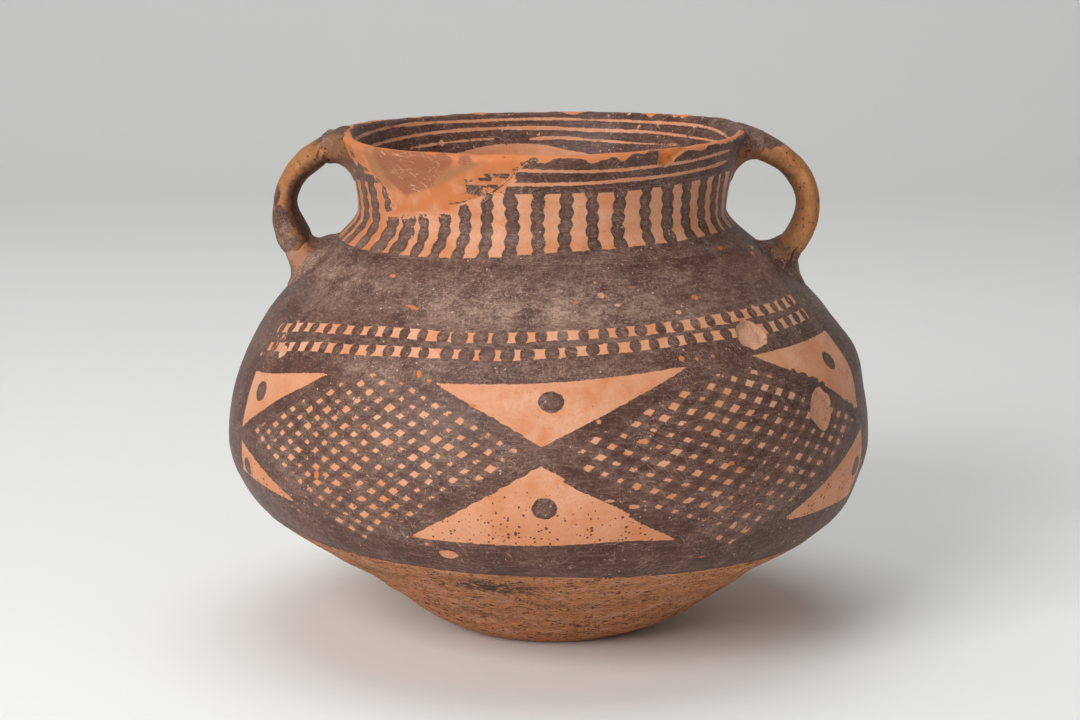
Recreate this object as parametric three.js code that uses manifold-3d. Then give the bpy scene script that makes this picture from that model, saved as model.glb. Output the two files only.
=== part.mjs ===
// Painted earthenware jar with two handles, in millimetres, +Z up.
// The origin is the centre of the flat base, on the surface that the jar stands on.
// The front looks along -Y, and one handle lies on each side, along -X (left) and +X (right).
//
// The jar is built by hand from rings of clay, in the order in which a potter stacks them:
// a base disc, a lower wall up to the belly, an upper wall over the shoulder and a neck with its rim.
// Each wall laps down inside the one under it. Two strap handles are then luted on with collars of
// soft clay, and a piece that is missing from the neck has been filled by a restorer.

import * as THREE from "three";
import { mergeVertices } from "three/addons/utils/BufferGeometryUtils.js";
import Module from "manifold-3d";

const wasm = await Module();
wasm.setup();

// Heights, each measured from the one before it
const bellyHeight = 82.3; // base to the widest part
const shoulderRise = 95.2; // widest part to the neck's waist
const neckRise = 31.5; // neck's waist to the rim

// Outer radii
const baseRadius = 44;
const bellyRadius = 135;
const waistRadius = 77; // the narrowest part of the neck
const rimRadius = 84;

// Roundness of the outline: how far each curve runs straight before it turns
const lowerWallSlope = THREE.MathUtils.degToRad(34); // above the horizontal, at the base
const lowerWallRun = 58;
const bellyRunBelow = 31;
const bellyRunAbove = 60;
const waistRunBelow = 13;
const waistRunAbove = 8;
const rimFlare = THREE.MathUtils.degToRad(25); // away from the vertical, at the rim
const rimRun = 9;

// Clay thicknesses
const baseThickness = 8;
const wallThickness = 6;
const lipThickness = 4.4;

// Joints between the stacked pieces
const neckSeamBelowWaist = 11.5;
const lap = 4; // how far each piece laps down inside the one under it

// Strap handles
const handleWidth = 22;
const handleThickness = 10;
const handleReach = 37.5; // neck's waist to the outside of the handle
const handleTopRun = 17; // how straight it leaves the rim
const handleBackRun = 12; // how straight its back is, above and below the outermost point
const handleFootRun = 9;
const handleFootLean = THREE.MathUtils.degToRad(47); // below the horizontal, towards the shoulder
const handleRootSwell = 1.12; // the strap's ends against its middle
const handleFootBelowSeam = 11;
const handleBackBelowRim = 30;
const strapFullness = 0.8; // 1 makes the section an oval, and less makes it fuller

// Collars of clay that lute the handles on
const collarLength = 8; // along the handle, out of the wall
const collarSpread = 5; // sideways, round the handle's root
const collarTopDrape = 12; // down the neck, under the upper root
const collarFootDrape = 8; // up the shoulder, inside the lower root
const collarEdge = 1.2; // thickness where the collar dies out on the handle

// The restorer's fill in the neck. Its outline is seen from outside: sideways from its middle, down from the rim.
const fillAzimuth = THREE.MathUtils.degToRad(-52); // from the front, towards the left handle
const fillLeftEdge = 35;
const fillRightEdge = 34;
const fillLeftDrop = 11.5; // straight down, before the left edge slants in
const fillFootLeft = 11;
const fillFootRight = 22.5;
const fillDepth = 28.5;
const fillCorner = 5;

const clearance = 0.3; // between pieces that are cut to fit each other

// Fineness of the curved faces
const turns = 60;
const discSteps = 2;
const lowerSteps = 8;
const upperSteps = 9;
const neckSteps = 6;
const lipSteps = 4;
const strapSteps = 16;
const strapSides = 14;
const collarSteps = 5;

const waistHeight = bellyHeight + shoulderRise;
const rimHeight = waistHeight + neckRise;
const lipRadius = lipThickness / 2;
const lipHeight = rimHeight - lipRadius * (1 + Math.sin(rimFlare)); // where the outside turns into the lip
const neckSeamHeight = waistHeight - neckSeamBelowWaist;

const point = (r, z) => new THREE.Vector2(r, z);

// The outer outline, from the base's edge to the rim, as three curves end to end
function makeOutline() {
  const base = point(baseRadius, 0);
  const belly = point(bellyRadius, bellyHeight);
  const waist = point(waistRadius, waistHeight);
  const rim = point(rimRadius, lipHeight);
  const lower = new THREE.CubicBezierCurve(
    base,
    point(baseRadius + lowerWallRun * Math.cos(lowerWallSlope), lowerWallRun * Math.sin(lowerWallSlope)),
    point(bellyRadius, bellyHeight - bellyRunBelow),
    belly,
  );
  const upper = new THREE.CubicBezierCurve(
    belly,
    point(bellyRadius, bellyHeight + bellyRunAbove),
    point(waistRadius, waistHeight - waistRunBelow),
    waist,
  );
  const neck = new THREE.CubicBezierCurve(
    waist,
    point(waistRadius, waistHeight + waistRunAbove),
    point(rim.x - rimRun * Math.sin(rimFlare), rim.y - rimRun * Math.cos(rimFlare)),
    rim,
  );
  return [lower, upper, neck];
}

const outline = makeOutline();

// Values from one to another in equal steps, both ends included
const evenly = (from, to, steps) => Array.from({ length: steps + 1 }, (_, i) => from + ((to - from) * i) / steps);

// The value between two others at which a height stops being too low
function search(low, high, isTooLow) {
  const halvings = 40;
  for (let i = 0; i < halvings; i++) {
    const middle = (low + high) / 2;
    if (isTooLow(middle)) low = middle;
    else high = middle;
  }
  return high;
}

// The point of the outline at a height, with the direction square to the wall there
function outerAt(height) {
  const z = THREE.MathUtils.clamp(height, 0, lipHeight);
  const curve = outline.find((c) => z <= c.v3.y) ?? outline[outline.length - 1];
  const t = search(0, 1, (middle) => curve.getPoint(middle).y < z);
  const along = curve.getTangent(t);
  return { at: curve.getPoint(t), out: point(along.y, -along.x) };
}

// The wall thins from the neck's seam to the lip
function thicknessAt(height) {
  const share = THREE.MathUtils.smoothstep(height, neckSeamHeight, rimHeight);
  return THREE.MathUtils.lerp(wallThickness, lipThickness, share);
}

function innerAt(height) {
  const { at, out } = outerAt(height);
  return at.clone().addScaledVector(out, -thicknessAt(height));
}

// A turned piece from its closed profile, given anticlockwise
function turned(profile) {
  const geometry = new THREE.LatheGeometry([...profile, profile[0].clone()], turns);
  geometry.rotateX(Math.PI / 2);
  return geometry;
}

function toSolid(geometry) {
  const bare = new THREE.BufferGeometry().setAttribute("position", geometry.getAttribute("position"));
  if (geometry.index) bare.setIndex(geometry.index);
  const merged = mergeVertices(bare, 1e-3);
  return new wasm.Manifold(
    new wasm.Mesh({
      numProp: 3,
      vertProperties: merged.attributes.position.array,
      triVerts: new Uint32Array(merged.index.array),
    }),
  );
}

function toGeometry(solid) {
  const mesh = solid.getMesh();
  return new THREE.BufferGeometry()
    .setAttribute("position", new THREE.BufferAttribute(new Float32Array(mesh.vertProperties), 3))
    .setIndex(new THREE.BufferAttribute(new Uint32Array(mesh.triVerts), 1));
}

function makeBaseDisc() {
  const edge = evenly(0, baseThickness, discSteps).map((z) => outerAt(z).at);
  return turned([point(0, 0), ...edge, point(0, baseThickness)]);
}

function makeLowerBody() {
  const outside = evenly(baseThickness, bellyHeight, lowerSteps).map((z) => outerAt(z).at);
  const foot = search(0, bellyHeight, (z) => innerAt(z).y < baseThickness);
  const inside = evenly(bellyHeight - lap, foot, lowerSteps).map(innerAt);
  inside[inside.length - 1].y = baseThickness; // its inside edge lies on the disc
  return turned([...outside, ...inside]);
}

function makeUpperBody() {
  const outside = evenly(bellyHeight, neckSeamHeight, upperSteps).map((z) => outerAt(z).at);
  const inside = evenly(neckSeamHeight - lap, bellyHeight - lap, upperSteps).map(innerAt);
  return turned([...outside, ...inside]);
}

function makeNeck() {
  const outside = evenly(neckSeamHeight, lipHeight, neckSteps).map((z) => outerAt(z).at);
  const inside = evenly(lipHeight, neckSeamHeight - lap, neckSteps).map(innerAt);
  const outer = outside[outside.length - 1];
  const middle = outer.clone().add(inside[0]).multiplyScalar(0.5);
  const lip = evenly(0, Math.PI, lipSteps)
    .slice(1, -1)
    .map((turn) => outer.clone().rotateAround(middle, turn));
  return turned([...outside, ...lip, ...inside]);
}

// The space that the walls take up with the hollow filled in, grown by a margin
function envelope(margin) {
  const levels = [
    ...evenly(baseThickness, bellyHeight, lowerSteps),
    ...evenly(bellyHeight, neckSeamHeight, upperSteps).slice(1),
    ...evenly(neckSeamHeight, lipHeight, neckSteps).slice(1),
  ];
  const side = levels.map((z) => {
    const { at, out } = outerAt(z);
    return at.clone().addScaledVector(out, margin);
  });
  const top = rimHeight + handleThickness;
  return toSolid(turned([point(0, 0), ...side, point(side[side.length - 1].x, top), point(0, top)]));
}

// The prism that the fill is cut from: its outline, grown by a margin and pushed out through the neck's wall
function fillPrism(margin) {
  const top = rimHeight + margin;
  const bottom = rimHeight - fillDepth - margin;
  const left = -fillLeftEdge - margin;
  const corners = [
    point(left, top),
    point(left, rimHeight - fillLeftDrop - margin),
    point(-fillFootLeft - margin, bottom),
    point(fillFootRight + margin, bottom),
    point(fillRightEdge + margin, top),
  ];
  const shape = new THREE.Shape();
  shape.moveTo(corners[0].x, corners[0].y);
  for (let i = 1; i < corners.length - 1; i++) {
    const corner = corners[i];
    const start = corner.clone().add(corners[i - 1].clone().sub(corner).setLength(fillCorner));
    const end = corner.clone().add(corners[i + 1].clone().sub(corner).setLength(fillCorner));
    shape.lineTo(start.x, start.y);
    shape.quadraticCurveTo(corner.x, corner.y, end.x, end.y);
  }
  shape.lineTo(corners[corners.length - 1].x, corners[corners.length - 1].y);
  const prism = new THREE.ExtrudeGeometry(shape, { depth: rimRadius, bevelEnabled: false, curveSegments: 3 });
  prism.rotateX(Math.PI / 2);
  prism.translate(0, -waistRadius / 2, 0);
  prism.rotateZ(fillAzimuth);
  return toSolid(prism);
}

// The middle line of the right handle, in the XZ plane: over from the rim, then down to the shoulder
function handleLine() {
  const topHeight = rimHeight - handleThickness / 2 - lipRadius / 2;
  const footHeight = neckSeamHeight - handleFootBelowSeam;
  const root = new THREE.Vector3(outerAt(topHeight).at.x - wallThickness / 2, 0, topHeight);
  const foot = new THREE.Vector3(outerAt(footHeight).at.x, 0, footHeight);
  const back = new THREE.Vector3(
    waistRadius + handleReach - handleThickness / 2,
    0,
    rimHeight - handleBackBelowRim,
  );
  const inwards = new THREE.Vector3(-Math.cos(handleFootLean), 0, -Math.sin(handleFootLean));
  foot.addScaledVector(inwards, wallThickness / 2);
  const line = new THREE.CurvePath();
  line.add(
    new THREE.CubicBezierCurve3(
      root,
      root.clone().add(new THREE.Vector3(handleTopRun, 0, 0)),
      back.clone().add(new THREE.Vector3(0, 0, handleBackRun)),
      back,
    ),
  );
  line.add(
    new THREE.CubicBezierCurve3(
      back,
      back.clone().add(new THREE.Vector3(0, 0, -handleBackRun)),
      foot.clone().addScaledVector(inwards, -handleFootRun),
      foot,
    ),
  );
  return line;
}

// A tube along part of the handle's line. sizeAt gives, at a share of the stretch, the half width, the
// half thickness, and how far the section is shifted towards the inside of the loop.
function strap(line, from, to, steps, sizeAt) {
  const full = (v) => Math.sign(v) * Math.abs(v) ** strapFullness;
  const positions = [];
  for (let i = 0; i <= steps; i++) {
    const at = line.getPoint(from + ((to - from) * i) / steps);
    const along = line.getTangent(from + ((to - from) * i) / steps);
    const inside = new THREE.Vector3(along.z, 0, -along.x);
    const { halfWidth, halfThickness, shift } = sizeAt(i / steps);
    for (let j = 0; j < strapSides; j++) {
      const turn = (2 * Math.PI * j) / strapSides;
      const corner = at.clone().addScaledVector(inside, shift + halfThickness * full(Math.cos(turn)));
      corner.y += halfWidth * full(Math.sin(turn));
      positions.push(...corner.toArray());
    }
  }
  const faces = [];
  const last = steps * strapSides;
  for (let i = 0; i < steps; i++) {
    for (let j = 0; j < strapSides; j++) {
      const a = i * strapSides + j;
      const b = i * strapSides + ((j + 1) % strapSides);
      faces.push(a, b, a + strapSides, b, b + strapSides, a + strapSides);
    }
  }
  for (let j = 1; j < strapSides - 1; j++) {
    faces.push(0, j + 1, j);
    faces.push(last, last + j, last + j + 1);
  }
  const geometry = new THREE.BufferGeometry();
  geometry.setAttribute("position", new THREE.BufferAttribute(new Float32Array(positions), 3));
  geometry.setIndex(faces);
  return toSolid(geometry);
}

const handleSize = (margin) => (share) => {
  const swell = THREE.MathUtils.lerp(1, handleRootSwell, Math.abs(2 * share - 1) ** 3);
  return {
    halfWidth: (handleWidth / 2) * swell + margin,
    halfThickness: (handleThickness / 2) * swell + margin,
    shift: 0,
  };
};

// A collar's section, from the wall (0) to where it dies out on the handle (1)
const collarSize = (drape) => (share) => {
  const left = (1 - share) ** 2;
  const root = handleSize(collarEdge)(0);
  return {
    halfWidth: root.halfWidth + collarSpread * left,
    halfThickness: root.halfThickness + (drape / 2) * left,
    shift: (drape / 2) * left,
  };
};

// The right handle and its collars, cut to fit the walls and each other, and level with the rim
function makeHandleParts() {
  const line = handleLine();
  const width = 2 * bellyRadius;
  const aboveRim = new THREE.BoxGeometry(width, width, rimHeight).translate(0, 0, rimHeight + rimHeight / 2);
  const surroundings = envelope(clearance).add(toSolid(aboveRim));
  const taken = surroundings.add(strap(line, 0, 1, strapSteps, handleSize(clearance)));
  const stretch = (wallThickness / 2 + collarLength) / line.getLength();
  const upper = strap(line, 0, stretch, collarSteps, collarSize(collarTopDrape));
  const lower = strap(line, 1 - stretch, 1, collarSteps, (share) => collarSize(collarFootDrape)(1 - share));
  return {
    handle: strap(line, 0, 1, strapSteps, handleSize(0)).subtract(surroundings),
    upper_collar: upper.subtract(taken),
    lower_collar: lower.subtract(taken),
  };
}

function clay(color, roughness) {
  return new THREE.MeshStandardMaterial({ color, roughness, metalness: 0 });
}

const bareClay = clay("#a5734f", 0.8);
const paintedClay = clay("#6f5148", 0.65);
const handleClay = clay("#a8774f", 0.75);
const collarClay = clay("#8d6a55", 0.8);
const fillPlaster = clay("#b07a58", 0.85);

const jar = new THREE.Group();

function addPiece(name, geometry, material) {
  const mesh = new THREE.Mesh(geometry, material);
  mesh.name = name;
  jar.add(mesh);
  return mesh;
}

addPiece("base_disc", makeBaseDisc(), bareClay);
addPiece("lower_body", makeLowerBody(), paintedClay);
addPiece("upper_body", makeUpperBody(), paintedClay);

const wholeNeck = toSolid(makeNeck());
addPiece("neck", toGeometry(wholeNeck.subtract(fillPrism(clearance))), paintedClay);
addPiece("neck_fill", toGeometry(wholeNeck.intersect(fillPrism(0))), fillPlaster);

const handleParts = makeHandleParts();
for (const [side, halfTurn] of [
  ["right", 0],
  ["left", Math.PI],
]) {
  for (const [part, solid] of Object.entries(handleParts)) {
    const material = part === "handle" ? handleClay : collarClay;
    addPiece(`${side}_${part}`, toGeometry(solid), material).rotation.z = halfTurn;
  }
}

export default jar;
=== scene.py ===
# A painted earthenware jar with two strap handles, dressed over its solid model.
# Sizes are in millimetres, angles round the jar in degrees from its front, to the right.
import math
from functools import partial

import bpy
import numpy as np
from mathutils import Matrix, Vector


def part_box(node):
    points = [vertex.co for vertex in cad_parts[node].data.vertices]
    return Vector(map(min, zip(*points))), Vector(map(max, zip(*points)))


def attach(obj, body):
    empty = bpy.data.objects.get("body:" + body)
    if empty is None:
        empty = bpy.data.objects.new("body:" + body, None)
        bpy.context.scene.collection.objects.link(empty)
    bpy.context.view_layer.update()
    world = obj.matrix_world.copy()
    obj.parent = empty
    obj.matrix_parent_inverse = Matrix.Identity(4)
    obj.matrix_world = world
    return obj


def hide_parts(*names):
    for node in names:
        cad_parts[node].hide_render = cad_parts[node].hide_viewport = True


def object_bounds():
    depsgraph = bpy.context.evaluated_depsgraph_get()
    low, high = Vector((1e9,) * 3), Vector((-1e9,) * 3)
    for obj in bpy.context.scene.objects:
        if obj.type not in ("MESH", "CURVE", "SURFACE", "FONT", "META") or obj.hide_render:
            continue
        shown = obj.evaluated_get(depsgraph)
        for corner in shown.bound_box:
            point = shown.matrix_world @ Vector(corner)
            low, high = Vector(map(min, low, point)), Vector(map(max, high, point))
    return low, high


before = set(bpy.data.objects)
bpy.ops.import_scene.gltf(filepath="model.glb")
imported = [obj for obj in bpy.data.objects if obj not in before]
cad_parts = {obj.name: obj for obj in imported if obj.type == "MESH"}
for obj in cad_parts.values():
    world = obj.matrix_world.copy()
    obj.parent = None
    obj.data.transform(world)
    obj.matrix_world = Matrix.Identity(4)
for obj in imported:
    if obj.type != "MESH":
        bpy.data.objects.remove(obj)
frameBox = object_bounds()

mm = 0.001
farOut = -20.0  # a distance that is outside every mark
notHere = -9  # the same for a mark that a piece or one of its sides lacks


# Small helpers

def rampUp(low, high, value):  # 0 below low, 1 above high, smooth between
    share = np.clip((value - low) / (high - low), 0, 1)
    return share * share * (3 - 2 * share)


def blendTo(a, b, share):
    return a + (b - a) * share


def polar(points):  # angle round the jar, height, distance from the axis
    x, y, z = points.T
    return np.degrees(np.arctan2(x, -y)), z, np.hypot(x, y)


def turned(angle):  # back to between -180 and 180
    return (angle + 180) % 360 - 180


def lumps(points, size, seed):  # smooth random lumps of about this size, from -1 to 1
    cell = points / size
    corner = np.floor(cell).astype(np.int64)
    share = cell - corner
    share = share * share * (3 - 2 * share)
    total = np.zeros(len(points))
    for which in range(8):
        step = np.array([which & 1, which >> 1 & 1, which >> 2 & 1])
        x, y, z = (corner + step).T
        mixed = (x * 73856093 ^ y * 19349663 ^ z * 83492791 ^ seed * 26544357) & 0xFFFFFFFF
        mixed = ((mixed ^ mixed >> 13) * 1274126177) & 0xFFFFFFFF
        mixed = ((mixed ^ mixed >> 16) * 40503171) & 0xFFFFFFFF
        value = (mixed >> 15 & 0xFFFF) / 32767.5 - 1
        total += value * np.prod(np.where(step, share, 1 - share), axis=1)
    return total


def brushLine(angle, stops):  # a smooth closed line round the jar, through (angle, height) stops
    stops = np.array(sorted(stops), float)
    x = np.concatenate([stops[-3:, 0] - 360, stops[:, 0], stops[:3, 0] + 360])
    y = np.concatenate([stops[-3:, 1], stops[:, 1], stops[:3, 1]])
    slope = np.gradient(y, x)
    i = np.clip(np.searchsorted(x, angle) - 1, 0, len(x) - 2)
    gap = x[i + 1] - x[i]
    t = (angle - x[i]) / gap
    start = (2 * t**3 - 3 * t**2 + 1) * y[i] + (t**3 - 2 * t**2 + t) * gap * slope[i]
    return start + (3 * t**2 - 2 * t**3) * y[i + 1] + (t**3 - t**2) * gap * slope[i + 1]


def toSegment(x, y, ax, ay, bx, by):  # distance to the straight line between two stops
    share = ((x - ax) * (bx - ax) + (y - ay) * (by - ay)) / ((bx - ax) ** 2 + (by - ay) ** 2)
    share = np.clip(share, 0, 1)
    return np.hypot(x - ax - share * (bx - ax), y - ay - share * (by - ay))


def insideShape(x, y, corners):  # distance to a closed outline, positive inside it
    corners = np.array(corners, float)
    nearest = np.full(len(x), 1e9)
    inside = np.zeros(len(x), bool)
    for (ax, ay), (bx, by) in zip(corners, np.roll(corners, -1, axis=0)):
        nearest = np.minimum(nearest, toSegment(x, y, ax, ay, bx, by))
        if ay != by:
            inside ^= ((ay > y) != (by > y)) & (x < (bx - ax) * (y - ay) / (by - ay) + ax)
    return np.where(inside, nearest, -nearest)


def fromLine(x, y, stops):  # distance to an open line through the stops
    nearest = np.full(len(x), 1e9)
    for (ax, ay), (bx, by) in zip(stops, stops[1:]):
        nearest = np.minimum(nearest, toSegment(x, y, ax, ay, bx, by))
    return nearest


def clearSelection():
    if bpy.context.mode != "OBJECT":
        bpy.ops.object.mode_set(mode="OBJECT")
    bpy.ops.object.select_all(action="DESELECT")


def pick(piece):  # selects this piece alone
    clearSelection()
    piece.select_set(True)
    bpy.context.view_layer.objects.active = piece


def placeInMesh(piece):  # the object goes to the origin, unturned and unscaled
    pick(piece)
    bpy.ops.object.transform_apply(location=True, rotation=True, scale=True)


def copyPiece(piece, name):  # with a mesh of its own
    pick(piece)
    bpy.ops.object.duplicate()
    other = bpy.context.object
    other.name = other.data.name = name
    return other


def faceOut():  # turns the edited mesh's faces outwards and leaves edit mode
    bpy.ops.mesh.select_all(action="SELECT")
    bpy.ops.mesh.normals_make_consistent(inside=False)
    bpy.ops.object.mode_set(mode="OBJECT")


def readPoints(piece):
    points = np.empty(len(piece.data.vertices) * 3, np.float32)
    piece.data.vertices.foreach_get("co", points)
    return points.reshape(-1, 3).astype(float) / mm


def writePoints(piece, points):
    piece.data.vertices.foreach_set("co", (points * mm).astype(np.float32).ravel())
    piece.data.update()


# What the clay's material reads on each piece, with what each says where nothing else is written.
# Those from bare to crack are distances in millimetres into such a place, and the rest are shares.
plainMarks = {
    "bare": 9,  # clay that the slip leaves bare
    "gapsA": -9,  # gaps between the net's rising strokes
    "gapsB": -9,  # and between its falling ones
    "brush": -9,  # beads, dots and stripes
    "raw": -9,  # broken places
    "crack": -9,  # the dark line of a crack
    # soot and stains, and on the handles and the neck also painted shade
    "soot": 0,
    "fresh": 0,  # how clean and bright broken clay is
    "film": 0.3,  # dusty film, and on the shoulder and the neck's foot also painted light
    "coarse": 0,  # scraped, not burnished
    "pitted": 0,
    "flaked": 0,
    "toned": 0,  # the restorer's colours
    "plaster": 0,
    "tan": 0,
}


def writeMarks(piece, **marks):
    count = len(piece.data.vertices)
    for name, plain in plainMarks.items():
        values = np.broadcast_to(marks.pop(name, plain), count)
        mark = piece.data.attributes.new(name, "FLOAT", "POINT")
        mark.data.foreach_set("value", np.ascontiguousarray(values, np.float32))
    assert not marks, "no such marks: " + ", ".join(marks)


def smoothShade(piece, angle=40):
    pick(piece)
    bpy.ops.object.shade_smooth_by_angle(angle=math.radians(angle))


# The jar's outline

def frameTop(node):
    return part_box(node)[1] / mm


jar = {
    "bellyRadius": frameTop("lower_body").x,
    "bellyHeight": frameTop("lower_body").z,
    "baseThickness": frameTop("base_disc").z,
    "seamHeight": frameTop("upper_body").z,
    "rimHeight": frameBox[1].z / mm,
    "baseRadius": 44,
    "waistRadius": 77,
    "waistAboveSeam": 11.5,
    "rimRadius": 84,
    "lowerWallSlope": math.radians(34),
    "lowerWallRun": 58,
    "bellyRunBelow": 31,
    "bellyRunAbove": 60,
    "waistRunBelow": 13,
    "waistRunAbove": 8,
    "rimFlare": math.radians(25),
    "rimRun": 9,
    "wallThickness": 6,
    "lipThickness": 4.4,
    "lap": 4,  # each wall laps down inside the one under it
    "turns": 720,  # faces round the jar, so that one is about as wide as the finest brush mark's edge
}
jar["waistHeight"] = jar["seamHeight"] + jar["waistAboveSeam"]
jar["lipHeight"] = jar["rimHeight"] - jar["lipThickness"] / 2 * (1 + math.sin(jar["rimFlare"]))


def bezier(a, b, c, d, count=400):
    t = np.linspace(0, 1, count)[:, None]
    a, b, c, d = (np.array(p, float) for p in (a, b, c, d))
    return (1 - t) ** 3 * a + 3 * (1 - t) ** 2 * t * b + 3 * (1 - t) * t**2 * c + t**3 * d


def drawOutline(s):  # from the base's edge to the rim, as three curves end to end
    belly = (s["bellyRadius"], s["bellyHeight"])
    waist = (s["waistRadius"], s["waistHeight"])
    rim = (s["rimRadius"], s["lipHeight"])
    run, slope = s["lowerWallRun"], s["lowerWallSlope"]
    lower = bezier(
        (s["baseRadius"], 0),
        (s["baseRadius"] + run * math.cos(slope), run * math.sin(slope)),
        (belly[0], belly[1] - s["bellyRunBelow"]),
        belly,
    )
    upper = bezier(
        belly,
        (belly[0], belly[1] + s["bellyRunAbove"]),
        (waist[0], waist[1] - s["waistRunBelow"]),
        waist,
    )
    back, flare = s["rimRun"], s["rimFlare"]
    neck = bezier(
        waist,
        (waist[0], waist[1] + s["waistRunAbove"]),
        (rim[0] - back * math.sin(flare), rim[1] - back * math.cos(flare)),
        rim,
    )
    return np.vstack([lower, upper[1:], neck[1:]])


outline = drawOutline(jar)
outlineTangent = np.gradient(outline, axis=0)
outlineTangent /= np.linalg.norm(outlineTangent, axis=1)[:, None]
outlineArc = np.concatenate([[0], np.cumsum(np.linalg.norm(np.diff(outline, axis=0), axis=1))])


def wallRadius(z):
    return np.interp(z, outline[:, 1], outline[:, 0])


def wallOut(z):  # the direction out of the wall, as its share away from the axis and its share upwards
    along = np.interp(z, outline[:, 1], outlineTangent[:, 1])
    upwards = -np.sign(np.interp(z, outline[:, 1], outlineTangent[:, 0]))
    return along, upwards * np.sqrt(np.clip(1 - along**2, 0, 1))


def wallSlant(z):  # millimetres along the wall for each millimetre of height
    return 1 / np.maximum(wallOut(z)[0], 0.3)


def wallThickness(z):
    share = rampUp(jar["seamHeight"], jar["rimHeight"], z)
    return blendTo(jar["wallThickness"], jar["lipThickness"], share)


def wallPoints(heights, depth=0.0):  # the wall's points at these heights, moved in by a depth
    heights = np.asarray(heights, float)
    outR, outZ = wallOut(heights)
    return np.stack([wallRadius(heights) - depth * outR, heights - depth * outZ], axis=1)


def evenHeights(low, high, spacing):  # heights that lie evenly along the wall
    first, last = np.interp([low, high], outline[:, 1], outlineArc)
    count = max(2, round(abs(last - first) / spacing) + 1)
    return np.interp(np.linspace(first, last, count), outlineArc, outline[:, 1])


def turnPiece(name, profile):  # a closed profile, spun round the axis
    clearSelection()
    first = profile[0]
    bpy.ops.mesh.primitive_plane_add(size=mm, location=(first[0] * mm, 0, first[1] * mm))
    piece = bpy.context.object
    piece.name = piece.data.name = name
    placeInMesh(piece)
    bpy.ops.object.mode_set(mode="EDIT")
    bpy.ops.mesh.select_all(action="SELECT")
    bpy.ops.mesh.merge(type="CENTER")
    for here, there in zip(profile, profile[1:]):
        step = ((there[0] - here[0]) * mm, 0, (there[1] - here[1]) * mm)
        bpy.ops.mesh.extrude_region_move(TRANSFORM_OT_translate={"value": step})
    bpy.ops.mesh.select_all(action="SELECT")
    bpy.ops.mesh.spin(steps=jar["turns"] // 8, angle=math.pi / 4, center=(0, 0, 0), axis=(0, 0, 1))
    for share in (8, 4, 2):  # an eighth of a turn, then doubled three times
        bpy.ops.mesh.select_all(action="SELECT")
        bpy.ops.mesh.duplicate()
        bpy.ops.transform.rotate(value=2 * math.pi / share, orient_axis="Z", center_override=(0, 0, 0))
        bpy.ops.mesh.select_all(action="SELECT")
        bpy.ops.mesh.remove_doubles(threshold=0.002 * mm)
    faceOut()
    return piece


# What the hand left: the coils are uneven, and the rim dips to the left

hand = {
    # how far the axis leans sideways, by height
    "drift": ((0, 1.2), (8, 2.3), (15, 2.7), (24, 3.1), (33, 3.8), (40, 3.5), (46, 2.6), (53, 1.3), (62, 0),
              (70, -0.8), (82, -1), (115, -0.7), (140, -1.3), (166, -2.6), (177.5, -3.3), (209, -2.2)),
    "handleDrift": -1.2,
    # how far the rim is lifted, by the distance to the right, and how much more at the back
    "rimLift": ((-110, -1), (-96, -0.9), (-90, -0.2), (-84, 0.1), (-78, -0.4), (-62, -0.95), (0, 0),
                (84, 1.26), (110, 1.6)),
    "backLift": ((-98, 0), (-90, 1.4), (-80, 1.5), (-60, 1), (-30, 0.4), (0, 0), (40, -0.4), (62, 0.5),
                 (84, 1.5), (92, 1.2), (104, 0)),
    # the handles don't lean with the wall: distances from the axis and heights between which that sets in
    "handleAway": (90, 108),
    "handleUp": (152, 168),
    "rimFrom": 176,  # the lift sets in above this
    "backFrom": (-30, 15),  # and its share at the back between these depths
    # where the wall stands out or in all round: height, reach, distance
    "swells": ((55, 14, 1.5), (29, 9, -0.8), (10, 10, 1.4)),
    # and on the right alone
    "rightSwells": ((116, 16, 1.9), (85, 34, 0.8), (52, 18, 0.4), (34, 12, -1.3)),
    "dentSize": 58,
    "dentDepth": 0.5,
    "coilSize": 24,
    "coilDepth": 0.22,
    "scrapeSize": 9,
    "scrapeDepth": 0.09,
    "grainSize": 2.6,
    "grainDepth": 0.05,
}


def driftAt(z):
    heights, shifts = zip(*hand["drift"])
    return np.interp(z, heights, shifts)


def handForm(points):  # moves finished points of every piece alike
    x, y, z = points.T
    onHandle = rampUp(*hand["handleAway"], np.hypot(x, y)) * rampUp(*hand["handleUp"], z)
    drift = blendTo(driftAt(z), hand["handleDrift"], onHandle)
    atBack = rampUp(*hand["backFrom"], y)
    lift = np.interp(x, *zip(*hand["rimLift"])) + np.interp(x, *zip(*hand["backLift"])) * atBack
    return np.stack([x + drift, y, z + lift * rampUp(hand["rimFrom"], 209, z)], axis=1)


def paintedPlace(points):  # angle and height as the brush met them on the leaning jar
    angle, z, radius = polar(points)
    lean = np.degrees(driftAt(z) / np.maximum(wallRadius(z), 1))
    side = np.sin(np.radians(angle)) ** 2
    facing = np.clip(5 * np.cos(np.radians(angle)), -1, 1)
    lean = lean * facing * (1 + 0.55 * side + 1.4 * side**2)
    return turned(angle + lean), handForm(points)[:, 2], radius


def handRelief(points, roughness=1.0):  # how far the wall stands out of its true shape
    flat = points * (1, 1, 2.6)
    relief = hand["dentDepth"] * lumps(points, hand["dentSize"], 11)
    relief += hand["coilDepth"] * lumps(points * (1, 1, 1.6), hand["coilSize"], 12)
    relief += hand["scrapeDepth"] * roughness * lumps(flat, hand["scrapeSize"], 13)
    relief += hand["grainDepth"] * roughness * lumps(points, hand["grainSize"], 14)
    for height, reach, distance in hand["swells"]:
        relief += distance * rampUp(1, 0, np.abs(points[:, 2] - height) / reach)
    toRight = rampUp(0.2, 0.9, points[:, 0] / np.maximum(np.hypot(points[:, 0], points[:, 1]), 1))
    for height, reach, distance in hand["rightSwells"]:
        relief += distance * toRight * rampUp(1, 0, np.abs(points[:, 2] - height) / reach)
    return relief


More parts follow.
